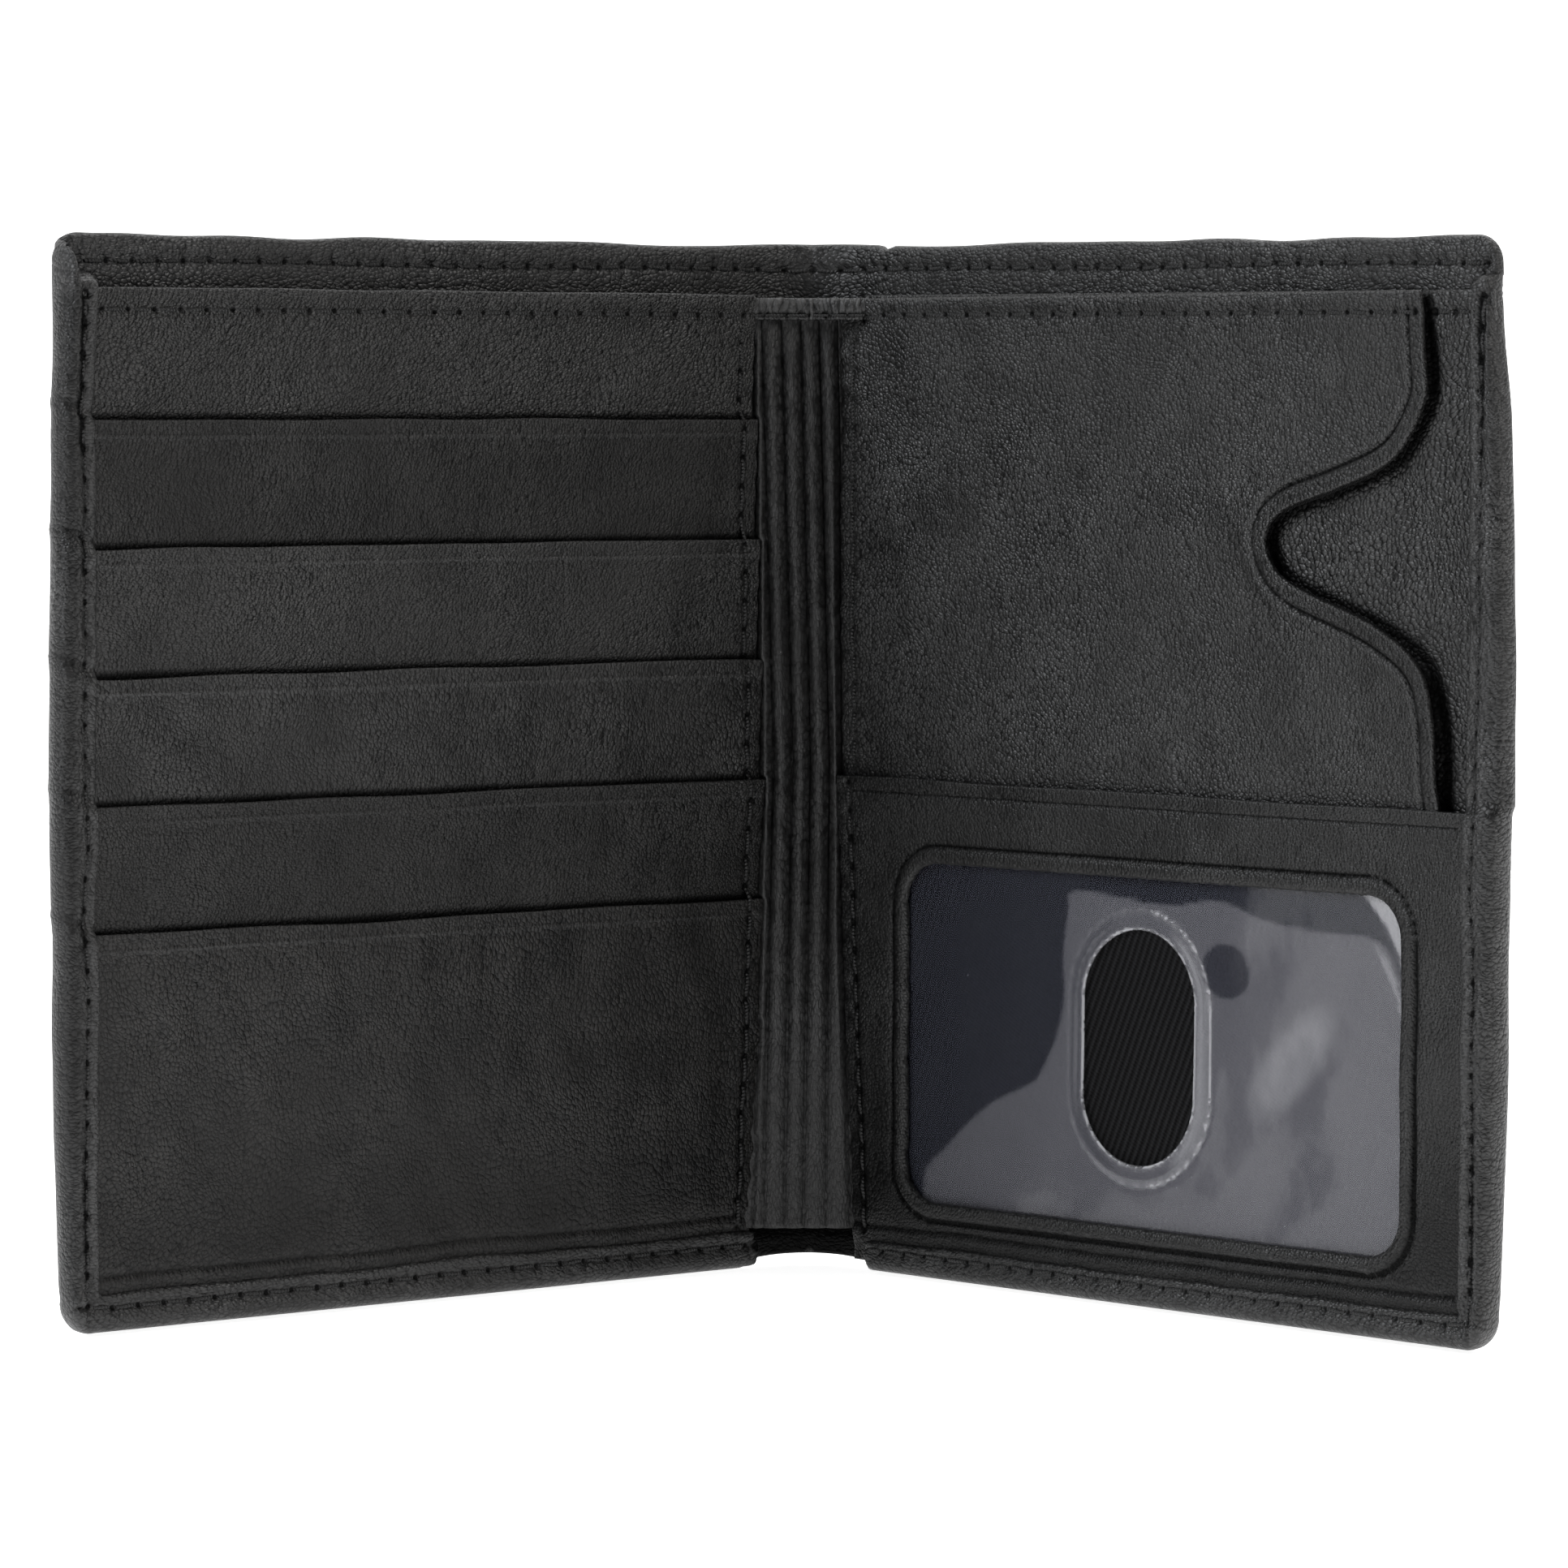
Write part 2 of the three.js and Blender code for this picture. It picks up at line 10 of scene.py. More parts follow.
import bpy
import numpy as np
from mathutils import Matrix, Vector
from mathutils.geometry import delaunay_2d_cdt
from mathutils.kdtree import KDTree

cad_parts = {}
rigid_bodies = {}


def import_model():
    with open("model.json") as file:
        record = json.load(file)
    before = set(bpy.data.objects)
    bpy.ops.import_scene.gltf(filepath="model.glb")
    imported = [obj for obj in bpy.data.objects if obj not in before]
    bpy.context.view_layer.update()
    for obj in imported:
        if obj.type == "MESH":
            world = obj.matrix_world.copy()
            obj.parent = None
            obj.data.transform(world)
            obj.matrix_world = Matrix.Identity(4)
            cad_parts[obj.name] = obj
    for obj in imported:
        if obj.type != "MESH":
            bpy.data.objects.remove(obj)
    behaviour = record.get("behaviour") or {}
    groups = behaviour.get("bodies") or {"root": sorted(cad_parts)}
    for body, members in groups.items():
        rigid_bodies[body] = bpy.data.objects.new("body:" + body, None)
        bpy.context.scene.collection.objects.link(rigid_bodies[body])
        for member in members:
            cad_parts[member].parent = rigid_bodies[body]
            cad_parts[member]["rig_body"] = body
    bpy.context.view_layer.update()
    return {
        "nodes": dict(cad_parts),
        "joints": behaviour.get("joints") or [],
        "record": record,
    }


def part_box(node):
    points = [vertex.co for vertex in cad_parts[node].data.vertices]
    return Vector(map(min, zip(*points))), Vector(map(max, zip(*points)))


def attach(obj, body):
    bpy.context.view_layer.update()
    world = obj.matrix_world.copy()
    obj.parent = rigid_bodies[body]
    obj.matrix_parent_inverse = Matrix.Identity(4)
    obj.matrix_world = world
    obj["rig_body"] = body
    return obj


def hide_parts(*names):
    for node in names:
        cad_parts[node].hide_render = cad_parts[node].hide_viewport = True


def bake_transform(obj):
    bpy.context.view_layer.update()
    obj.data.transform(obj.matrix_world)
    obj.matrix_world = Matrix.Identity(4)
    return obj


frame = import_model()

# ---------------------------------------------------------------- what the frame says

LEFT, RIGHT = -1, 1
LEAF = {LEFT: "left_leaf", RIGHT: "right_leaf"}
SUFFIX = {LEFT: "left", RIGHT: "right"}

joint = next(j for j in frame["joints"] if j["child"] == LEAF[RIGHT])
HALF_SPINE, FOLD_Y = (1000 * x for x in joint["pos_m"][:2])
outwards = next(m for m in frame["record"]["mounts"] if m["name"] == "cover_face_right")["axis"]
OPEN = math.atan2(outwards[0], outwards[1])
COS, SIN = math.cos(OPEN), math.sin(OPEN)
SPINE_RADIUS = HALF_SPINE / SIN
HALF_ARC = SPINE_RADIUS * OPEN


def pairs(*columns):
    return np.stack(columns, -1)


def leaf_points(node):
    """(u, v, z) of the corners of a leaf's CAD node, in mm."""
    ob = frame["nodes"][node]
    side = LEFT if ob["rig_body"] == LEAF[LEFT] else RIGHT
    x, y, z = 1000 * np.array([vertex.co for vertex in ob.data.vertices]).T
    x, y = side * x - HALF_SPINE, FOLD_Y - y
    return pairs(x * COS + y * SIN, y * COS - x * SIN, z)


def leaf_box(node):
    """Lowest and highest (u, v, z) of a leaf's CAD node."""
    points = leaf_points(node)
    return points.min(0), points.max(0)


(_, COVER_OUT, _), (LEAF_WIDTH, HEM_OUT, HEIGHT) = leaf_box("cover_right")
COVER_IN = leaf_box("stiffener_right")[0][1] - 0.05
FACING_IN = COVER_IN + 0.6
(_, _, PANEL_BOTTOM), (PANEL_END, BASE_FACE, PANEL_TOP) = leaf_box("base_panel")
POCKET_FACE = leaf_box("side_pocket_panel")[1][1]
FRAME_FACE, ID_TOP = leaf_box("id_window_frame")[1][1:]
FILM_FACE = leaf_box("id_window_film")[1][1]
STRIP = 0.5
(_, strip_back, strip_low), (_, CARD_FACE, strip_top) = leaf_box("card_slot_1")
SLOPE = (CARD_FACE - strip_back - STRIP) / (strip_top - strip_low)
MOUTHS = [leaf_box(f"card_slot_{i}")[1][2] for i in range(1, 6)]
PITCH = MOUTHS[0] - MOUTHS[1]
HEM_LINE = LEAF_WIDTH - 5
SIDE_STITCH = LEAF_WIDTH - 2.8
BOTTOM_STITCH = 2.6
TOP_STITCH = 117.7
PANEL_STITCH = 112.4
STITCH_PITCH = 3.35


# ---------------------------------------------------------------- coordinates

def leaf_xyz(side, u, v, z):
    """Leaf coordinates to the frame's x, y, z, still in mm."""
    return pairs(side * (HALF_SPINE + u * COS - v * SIN), FOLD_Y - u * SIN - v * COS, z + 0 * u)


def cover_xyz(side, u, v, z):
    """The same, with the stretch before the fold line (u below 0) bent round the spine."""
    angle = OPEN + np.minimum(u, 0) / SPINE_RADIUS
    radius = SPINE_RADIUS - v
    bent = pairs(side * radius * np.sin(angle), FOLD_Y - SPINE_RADIUS * COS + radius * np.cos(angle), z + 0 * u)
    return np.where((u < 0)[:, None], bent, leaf_xyz(side, u, v, z))


def smooth(x):
    x = np.clip(x, 0, 1)
    return x * x * (3 - 2 * x)


def dome(x):
    """Quarter circle: 0 at 0 with an upright start, 1 from 1 on."""
    return np.sqrt(1 - (1 - np.clip(x, 0, 1)) ** 2)


def ridge(x):
    """Like dome, with a flatter side and a tighter turn."""
    return (1 - (1 - np.clip(x, 0, 1)) ** 2.6) ** (1 / 2.6)


def bell(x, width):
    return np.exp(-((x / width) ** 2))


def waves(u, z, length, seed, count=9):
    """Smooth noise of about one unit, with features of that length."""
    rng = np.random.default_rng(seed)
    total = 0
    for _ in range(count):
        turn, phase, k = rng.uniform(0, 2 * math.pi, 2).tolist() + [rng.uniform(0.6, 1.5)]
        k *= 2 * math.pi / length
        total = total + np.sin(k * (u * math.cos(turn) + z * math.sin(turn)) + phase)
    return total / math.sqrt(count)


def spline(points, step=0.5):
    """A smooth line through points, with a vertex about every step."""
    p = np.array(points, float)
    p = np.vstack([2 * p[0] - p[1], p, 2 * p[-1] - p[-2]])
    out = []
    for a, b, c, d in zip(p, p[1:], p[2:], p[3:]):
        for t in np.arange(0, 1, 1 / max(1, round(np.linalg.norm(c - b) / step))):
            out.append(0.5 * (2 * b + (c - a) * t + (2 * a - 5 * b + 4 * c - d) * t * t
                              + (3 * b - a - 3 * c + d) * t ** 3))
    return np.array(out + [p[-2]])


def line(start, end, step=0.8):
    count = max(1, round(math.dist(start, end) / step))
    return np.linspace(start, end, count + 1)


def chain(*parts):
    """Joins lines end to end, leaving out repeated points."""
    points = np.vstack(parts)
    keep = np.r_[True, np.linalg.norm(np.diff(points, axis=0), axis=1) > 1e-4]
    return points[keep]


def arc(centre, radius, start, end, steps=10):
    turn = np.radians(np.linspace(start, end, steps + 1))
    return pairs(centre[0] + radius * np.cos(turn), centre[1] + radius * np.sin(turn))


def box(left, right, bottom, top, step):
    """Closed outline of a rectangle, anticlockwise."""
    corners = (left, bottom), (right, bottom), (right, top), (left, top), (left, bottom)
    return chain(*[line(a, b, step) for a, b in zip(corners, corners[1:])])[:-1]


def rounded(left, right, bottom, top, radius, step=0.6):
    """The same with round corners."""
    r = radius
    return chain(
        line((left + r, bottom), (right - r, bottom), step), arc((right - r, bottom + r), r, -90, 0),
        line((right, bottom + r), (right, top - r), step), arc((right - r, top - r), r, 0, 90),
        line((right - r, top), (left + r, top), step), arc((left + r, top - r), r, 90, 180),
        line((left, top - r), (left, bottom + r), step), arc((left + r, bottom + r), r, 180, 270))[:-1]


def run_of(path):
    """How far along a path each of its points is."""
    return np.r_[0, np.cumsum(np.linalg.norm(np.diff(path, axis=0), axis=1))]


def sideways(path, closed=False):
    """Unit vectors to the left of a path."""
    along = np.roll(path, -1, 0) - np.roll(path, 1, 0) if closed else np.gradient(path, axis=0)
    normal = pairs(-along[:, 1], along[:, 0])
    return normal / np.maximum(np.linalg.norm(normal, axis=1, keepdims=True), 1e-9)


def distance(points, path, closed=False):
    """Distance from each point to a path, and how far along the path its nearest point is."""
    n = len(path)
    tree = KDTree(n)
    for i, p in enumerate(path.tolist()):
        tree.insert((*p, 0), i)
    tree.balance()
    near = np.array([tree.find((*p, 0))[1] for p in points.tolist()], int)
    run = run_of(path)
    best, along = np.full(len(points), 1e9), np.zeros(len(points))
    for start in (near - 1, near):
        start = start % n if closed else np.clip(start, 0, n - 2)
        a, d = path[start], path[(start + 1) % n] - path[start]
        t = np.clip(((points - a) * d).sum(1) / np.maximum((d * d).sum(1), 1e-12), 0, 1)
        gap = np.linalg.norm(points - a - t[:, None] * d, axis=1)
        closer = gap < best
        best = np.where(closer, gap, best)
        along = np.where(closer, run[start] + t * np.linalg.norm(d, axis=1), along)
    return best, along


def gap_to(path, u, z, closed=False):
    return distance(pairs(u, z), path, closed)[0]


def inside(points, loop):
    x, y = points[:, 0], points[:, 1]
    found = np.zeros(len(points), bool)
    for (x0, y0), (x1, y1) in zip(loop, np.roll(loop, -1, 0)):
        if y0 != y1:
            crosses = (y0 > y) != (y1 > y)
            found ^= crosses & (x < (x1 - x0) * (y - y0) / (y1 - y0) + x0)
    return found


# ---------------------------------------------------------------- mesh making

def make_object(name, verts, faces, rest, material, slot, tone=0.0):
    """A smooth-shaded mesh. rest is where each vertex lies in the flat leather, for the grain.

    The attribute that the leather reads is above 0 on ridges and below 0 in hollows, with tone added to it; the
    leather turns it into wear and painted highlights on the ridges and painted shade in the hollows.
    """
    mesh = bpy.data.meshes.new(name)
    mesh.from_pydata((verts / 1000).tolist(), [], faces)
    mesh.polygons.foreach_set("use_smooth", np.ones(len(mesh.polygons), bool))
    mesh.attributes.new("rest", "FLOAT_VECTOR", "POINT").data.foreach_set("vector", rest.astype(np.float32).ravel())
    edges = np.zeros(len(mesh.edges) * 2, np.int64)
    mesh.edges.foreach_get("vertices", edges)
    a, b = edges.reshape(-1, 2).T
    normal = np.zeros(len(verts) * 3, np.float32)
    mesh.vertices.foreach_get("normal", normal)
    normal = normal.reshape(-1, 3)
    step = verts[b] - verts[a]
    length = np.maximum(np.linalg.norm(step, axis=1), 1e-6)
    bend = np.clip(((normal[b] - normal[a]) * step).sum(1) / length ** 2, -4, 4)
    total, count = np.zeros(len(verts)), np.zeros(len(verts))
    for end in (a, b):
        np.add.at(total, end, bend)
        np.add.at(count, end, 1)
    # bending plus tone, painted by the leather as wear and highlights on ridges and as shade in hollows
    set_values(mesh, "wear_and_painted_light", np.clip(total / np.maximum(count, 1), -2, 2) + tone)
    ob = bpy.data.objects.new(name, mesh)
    bpy.context.scene.collection.objects.link(ob)
    mesh.materials.append(material)
    return ob


def set_values(mesh, name, values):
    mesh.attributes.new(name, "FLOAT", "POINT").data.foreach_set("value", values.astype(np.float32))


def slab(name, outline, front, back, place, look, rim=0.3, holes=(), cut=None, lines=(), dots=None,
         step=0.8, side=RIGHT, cap=True, seam=None, back_rim=None, tone=None):
    """A sheet between two height functions over an outline, with its rims rounded.

    The edge at u = cut stays square; lines are features that need close points on both sides, and
    dots are single extra points. seam is the height at which front and back meet at the rim, and
    tone lightens (above 0) or darkens the material, mostly as painted highlights and painted shade.
    """
    loops = [outline, *holes]
    rim_of = rim if callable(rim) else (lambda p: np.full(len(p), float(rim)))
    special, rims = [], []
    for loop in loops:
        at_cut = loop[:, 0] < (-math.inf if cut is None else cut + 1e-6)
        inwards = sideways(loop, True) * rim_of(loop)[:, None]
        special += [(loop + inwards * share)[~at_cut] for share in (0.034, 0.134, 0.293, 0.5, 0.741, 1.0)]
        if at_cut.any():
            first = np.flatnonzero(at_cut & ~np.roll(at_cut, -1))[0]
            loop, at_cut = np.roll(loop, -first, 0), np.roll(at_cut, -first)
            rims.append((loop[:np.flatnonzero(at_cut[1:])[0] + 2], False))
        else:
            rims.append((loop, True))
    for path, offsets in lines:
        special += [path + sideways(path) * offset for offset in offsets]
    if dots is not None:
        special.append(dots)
    low, high = outline.min(0), outline.max(0)
    zs = np.arange(low[1] + step / 2, high[1], step * 0.87)
    gu, gz = np.meshgrid(np.arange(low[0] + step / 2, high[0], step), zs)
    grid = pairs((gu + (np.arange(len(zs)) % 2)[:, None] * step / 2).ravel(), gz.ravel())

    def covered(points):
        return inside(points, outline) & ~np.any([inside(points, hole) for hole in holes], axis=0)

    def edge_gap(points):
        """Distance to the nearest rounded edge, and the rim radius there."""
        gap, radius = np.full(len(points), 1e9), np.zeros(len(points))
        for path, closed in rims:
            here, along = distance(points, path, closed)
            ring = np.vstack([path, path[:1]]) if closed else path
            radius = np.where(here < gap, np.interp(along, run_of(ring), rim_of(ring)), radius)
            gap = np.minimum(gap, here)
        return gap, radius

    boundary, special = np.vstack(loops), np.vstack(special)
    special = special[covered(special)]
    gap, radius = edge_gap(special)
    special = special[gap > 0.025 * radius]
    grid = grid[covered(grid)]
    grid = grid[edge_gap(grid)[0] > 0.25 * step]
    cells_of = lambda points: map(tuple, np.round(points / (0.6 * step)).astype(int).tolist())
    taken = set(cells_of(np.vstack([boundary, special])))
    free = np.array([cell not in taken for cell in cells_of(grid)], bool)
    points = np.vstack([boundary, thinned(special, 0.04), grid[free]])
    edges, start = [], 0
    for n in map(len, loops):
        edges += [(start + i, start + (i + 1) % n) for i in range(n)]
        start += n
    made = delaunay_2d_cdt([Vector(p) for p in points.tolist()], edges, [], 1, 1e-6)
    flat, tris = np.array([tuple(p) for p in made[0]]), np.array(made[2])
    tris = tris[covered(flat[tris].mean(1))]
    gap, radius = edge_gap(flat)
    u, z = flat.T
    top, bottom = front(u, z), back(u, z)
    middle = (top + bottom) / 2 if seam is None else seam(u, z, top, bottom)
    behind = radius if back_rim is None else back_rim(u, z)
    top = middle + (top - middle) * ridge(gap / np.maximum(radius, 1e-6))
    bottom = middle + (bottom - middle) * ridge(gap / np.maximum(behind, 1e-6))
    n = len(flat)
    shared = gap < 1e-4
    back_id = np.where(shared, np.arange(n), np.arange(n) + n)
    front_faces = tris[:, ::side]
    faces = front_faces.tolist() + back_id[front_faces[:, ::-1]].tolist()
    if cap:
        half = np.vstack([front_faces[:, [0, 1]], front_faces[:, [1, 2]], front_faces[:, [2, 0]]]).tolist()
        seen = set(map(tuple, half))
        for a, b in half:
            if (b, a) not in seen and not (shared[a] and shared[b]):
                faces.append(list(dict.fromkeys([b, a, int(back_id[a]), int(back_id[b])])))
    used = np.unique(tris)
    alive = np.unique(np.r_[used, back_id[used]])
    index = np.zeros(2 * n, int)
    index[alive] = np.arange(len(alive))
    faces = [index[f].tolist() for f in faces]
    uu, vv, zz = np.tile(u, 2)[alive], np.r_[top, bottom][alive], np.tile(z, 2)[alive]
    shift = 0 if tone is None else np.r_[tone(u, z), 0 * u][alive]
    return make_object(name, place(side, uu, vv, zz), faces, pairs(side * (uu + HALF_ARC), vv, zz), *look, tone=shift)


def thinned(points, gap):
    """Drops points that share a small cell with an earlier one."""
    seen, keep = set(), []
    for i, cell in enumerate(map(tuple, np.round(points / gap).astype(int).tolist())):
        if cell not in seen:
            seen.add(cell)
            keep.append(i)
    return points[keep]


def grid_slab(name, front, back, rest, look, caps=(True, True), flip=False, tone=0.0):
    """A closed sheet between two grids of points of shape (rows, columns, 3)."""
    rows, cols = front.shape[:2]
    n = rows * cols
    ids = np.arange(n).reshape(rows, cols)
    quads = pairs(ids[:-1, :-1], ids[:-1, 1:], ids[1:, 1:], ids[1:, :-1]).reshape(-1, 4)
    faces = [*quads.tolist(), *(quads[:, ::-1] + n).tolist()]
    rims = [ids[0, ::-1], ids[-1, :]] + [ids[:, 0]] * caps[0] + [ids[::-1, -1]] * caps[1]
    for rim in rims:
        faces += [[a, b, b + n, a + n] for a, b in zip(rim[:-1].tolist(), rim[1:].tolist())]
    if flip:
        faces = [f[::-1] for f in faces]
    verts = np.vstack([front.reshape(-1, 3), back.reshape(-1, 3)])
    return make_object(name, verts, faces, np.vstack([rest.reshape(-1, 3)] * 2), *look, tone=tone)


def on_leaf(ob, side, *nodes):
    """A piece that rides on a leaf and stands for these CAD nodes."""
    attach(ob, LEAF[side])
    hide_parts(*nodes)


# ---------------------------------------------------------------- materials


class Graph:
    """A material, with short names for making and linking its shader nodes."""

    def __init__(self, name):
        self.material = bpy.data.materials.new(name)
        self.material.use_nodes = True
        self.tree = self.material.node_tree
        self.shader = next(n for n in self.tree.nodes if n.type == "BSDF_PRINCIPLED")

    def fill(self, node, inputs):
        for key, value in inputs.items():
            if isinstance(value, bpy.types.NodeSocket):
                self.tree.links.new(value, node.inputs[key])
            else:
                node.inputs[key].default_value = value

    def surface(self, inputs):
        self.fill(self.shader, inputs)
        return self.material

    def add(self, kind, inputs, output=0, **settings):
        node = self.tree.nodes.new("ShaderNode" + kind)
        for key, value in settings.items():
            setattr(node, key, value)
        self.fill(node, inputs)
        return node.outputs[output]

    def attribute(self, name, output="Fac"):
        return self.add("Attribute", {}, output, attribute_name=name)

    def rest(self):
        return self.attribute("rest", "Vector")

    def mapped(self, vector, scale=(1, 1, 1), turn=0.0):
        return self.add("Mapping", {"Vector": vector, "Scale": scale, "Rotation": (0, turn, 0)})

    def noise(self, vector, scale, detail=2.0, rough=0.5, distortion=0.0, output="Fac"):
        return self.add("TexNoise", {"Vector": vector, "Scale": scale, "Detail": detail, "Roughness": rough,
                                     "Distortion": distortion}, output)

    def voronoi(self, vector, scale, feature="F1"):
        return self.add("TexVoronoi", {"Vector": vector, "Scale": scale}, "Distance", feature=feature)

    def math(self, operation, a, b=0.0, c=0.0):
        return self.add("Math", {0: a, 1: b, 2: c}, operation=operation)

    def times(self, a, b, plus=None):
        return self.math("MULTIPLY", a, b) if plus is None else self.math("MULTIPLY_ADD", a, b, plus)

    def ramp(self, value, low, high, out_low=0.0, out_high=1.0):
        return self.add("MapRange", {"Value": value, "From Min": low, "From Max": high,
                                     "To Min": out_low, "To Max": out_high})

    def mix(self, factor, a, b):
        return self.add("Mix", {0: factor, 6: a, 7: b}, 2, data_type="RGBA")

    def displaced(self, vector, by, amount):
        """vector, shifted by a noise colour so that straight patterns turn irregular."""
        colour = self.noise(vector, by, output="Color")
        centred = self.add("VectorMath", {0: colour, 1: (0.5, 0.5, 0.5)}, operation="SUBTRACT")
        scaled = self.add("VectorMath", {0: centred, "Scale": amount}, operation="SCALE")
        return self.add("VectorMath", {0: vector, 1: scaled}, operation="ADD")

    def bump(self, height, depth, normal=None):
        """depth is in mm."""
        inputs = {} if normal is None else {"Normal": normal}
        return self.add("Bump", {"Height": height, "Distance": depth / 1000, "Strength": 1.0, **inputs})


def grey(level, warm=0.0):
    return (level * (1 + warm), level, level * (1 - warm), 1)


def leather(name, level, cell, stretch, turn, grain, rough=0.42, wrinkle=0.10, warm=0.0, gloss=0.42):
    """Grained leather: pebbles of one cell with painted shade in their crevices, wrinkles, wear and painted highlights
    on the ridges, painted shade in the hollows, dust specks.
    """
    g = Graph(name)
    rest, wear_and_painted_light = g.rest(), g.attribute("wear_and_painted_light")
    bent = g.displaced(g.displaced(rest, 0.10, 3.0), 1.1, 0.28)
    pebbles = g.mapped(bent, (1 / cell, 1 / cell, 1 / cell / stretch), turn)
    edge = g.ramp(g.voronoi(pebbles, 1.0, "DISTANCE_TO_EDGE"), 0.0, 0.30)
    near = g.voronoi(pebbles, 1.0)
    domed = g.math("SUBTRACT", 1.0, g.times(near, near))
    tiny = g.ramp(g.voronoi(g.mapped(bent, (1.9 / cell, 1.9 / cell, 1.9 / cell)), 1.0), 0.0, 0.8, 1.0, 0.0)
    fine = g.noise(rest, 5.0, 3.0, 0.6)
    patch = g.ramp(g.noise(rest, 0.05, 3.0, 0.55), 0.35, 0.65)
    deep = g.ramp(g.noise(rest, 0.16), 0.3, 0.7, 0.75, 1.1)
    folds = g.noise(g.mapped(bent, (0.50, 0.50, 0.13), turn * 0.5), 1.0, 2.0, 0.5, 0.3)
    height = g.times(tiny, 0.10, g.times(domed, 0.62, g.times(edge, 0.20)))
    height = g.times(g.times(fine, 0.14, height), deep)
    normal = g.bump(height, grain, g.bump(folds, wrinkle))
    # grain colour from the pebble height: the crevices darkened as painted shade, the pebble tops lightened as painted
    # highlight
    colour = g.mix(g.ramp(height, 0.46, 0.84), grey(level * 0.05, warm), grey(level * 1.9, warm))
    colour = g.mix(g.times(patch, 0.5), colour, grey(level * 0.55, warm + 0.04))
    # lighter on ridges and where tone is above 0: wear, and painted highlights
    wear_and_highlight = g.times(g.ramp(wear_and_painted_light, 0.25, 1.6, 0.0, 0.55), g.ramp(fine, 0.3, 0.7))
    colour = g.mix(wear_and_highlight, colour, grey(level * 3.5))
    # painted shade in hollows and where tone is below 0, which also dims the specular there
    painted_hollow_shade = g.ramp(wear_and_painted_light, -0.25, -1.4, 0.0, 0.9)
    colour = g.mix(painted_hollow_shade, colour, grey(level * 0.1))
    dust = g.math("LESS_THAN", g.voronoi(rest, 0.16), 0.011)
    colour = g.mix(g.times(dust, 0.5), colour, (0.35, 0.35, 0.36, 1))
    uneven = g.math("ADD", g.times(fine, 0.5), g.times(patch, 0.5))
    return g.surface({"Base Color": colour, "Roughness": g.ramp(uneven, 0.2, 0.8, rough - 0.06, rough + 0.10),
                      "Specular IOR Level": g.times(gloss, g.math("SUBTRACT", 1.0, g.times(painted_hollow_shade, 0.95))),
                      "Normal": normal})


def woven(name, level, pitch, twill=False, blue=0.0):
    """Cloth: a plain weave, or a twill of slanting ribs made of short twisted floats."""
    g = Graph(name)
    rest = g.rest()
    bent = g.displaced(rest, 0.6, 0.08)
    u, z = (g.add("SeparateXYZ", {0: bent}, axis) for axis in "XZ")
    turn = 2 * math.pi / pitch
    sine = lambda value: g.math("SINE", value)
    if twill:
        rib = sine(g.times(g.math("SUBTRACT", u, g.times(z, 0.42)), turn))
        along = sine(g.times(g.math("ADD", z, g.times(u, 0.55)), turn * 2.2))
        height = g.times(along, 0.22, rib)
    else:
        height = g.times(sine(g.times(u, turn)), sine(g.times(z, turn)))
    height = g.times(g.noise(rest, 9.0, 3.0, 0.7), 0.5, height)
    light = (level * 2.0, level * 2.0, level * (2.05 + blue), 1)
    return g.surface({"Base Color": g.mix(g.ramp(height, -0.8, 1.2), grey(level * 0.1), light),
                      "Normal": g.bump(height, 0.32 if twill else 0.12), "Roughness": 0.8, "Specular IOR Level": 0.15})


def sewing_thread(name, level):
    """Twisted thread. Here rest is (distance along, angle round) of each stitch."""
    g = Graph(name)
    rest = g.rest()
    along, around = (g.add("SeparateXYZ", {0: rest}, axis) for axis in "XY")
    twist = g.math("SINE", g.math("ADD", g.times(along, 14.0), around))
    fuzz = g.noise(rest, 3.0)
    return g.surface({"Base Color": g.mix(g.ramp(twist, -1, 1), grey(level * 0.4), grey(level * 1.7)),
                      "Normal": g.bump(g.times(fuzz, 0.4, twist), 0.06),
                      "Roughness": g.ramp(fuzz, 0.3, 0.7, 0.45, 0.65)})


def pressed_board(name):
    g = Graph(name)
    fibre = g.noise(g.mapped(g.rest(), (1, 1, 0.25)), 2.5, 4.0, 0.7)
    return g.surface({"Base Color": g.mix(fibre, (0.13, 0.10, 0.07, 1), (0.26, 0.22, 0.16, 1)),
                      "Normal": g.bump(fibre, 0.05), "Roughness": 0.9})


def clear_film(name):
    """Clear vinyl, with grey reflections and bright highlights painted into its colour from an attribute; dark where
    that is 0.
    """
    g = Graph(name)
    painted_reflection, rest = g.attribute("painted_reflection"), g.rest()
    cloud = g.noise(rest, 0.12)
    scratch = g.noise(g.mapped(rest, (3.0, 1.0, 0.15), 0.3), 1.0)
    # painted grey reflection where the attribute nears 1
    lit = g.times(painted_reflection, g.ramp(cloud, 0.2, 0.8, 0.88, 1.0))
    colour = g.mix(lit, (0.020, 0.022, 0.034, 1), (0.16, 0.16, 0.18, 1))
    # painted bright highlight where the attribute is above 1
    colour = g.mix(g.ramp(painted_reflection, 1.0, 4.0), colour, (0.95, 0.95, 0.98, 1))
    dust = g.math("LESS_THAN", g.voronoi(rest, 0.22), 0.016)
    colour = g.mix(g.times(dust, 0.8), colour, (0.8, 0.8, 0.8, 1))
    normal = g.bump(g.math("ADD", cloud, g.times(scratch, 0.012)), 0.25)
    g.material.surface_render_method = "BLENDED"
    return g.surface({"Base Color": colour, "Normal": normal, "Roughness": 0.12, "Alpha": 0.42, "IOR": 1.5})


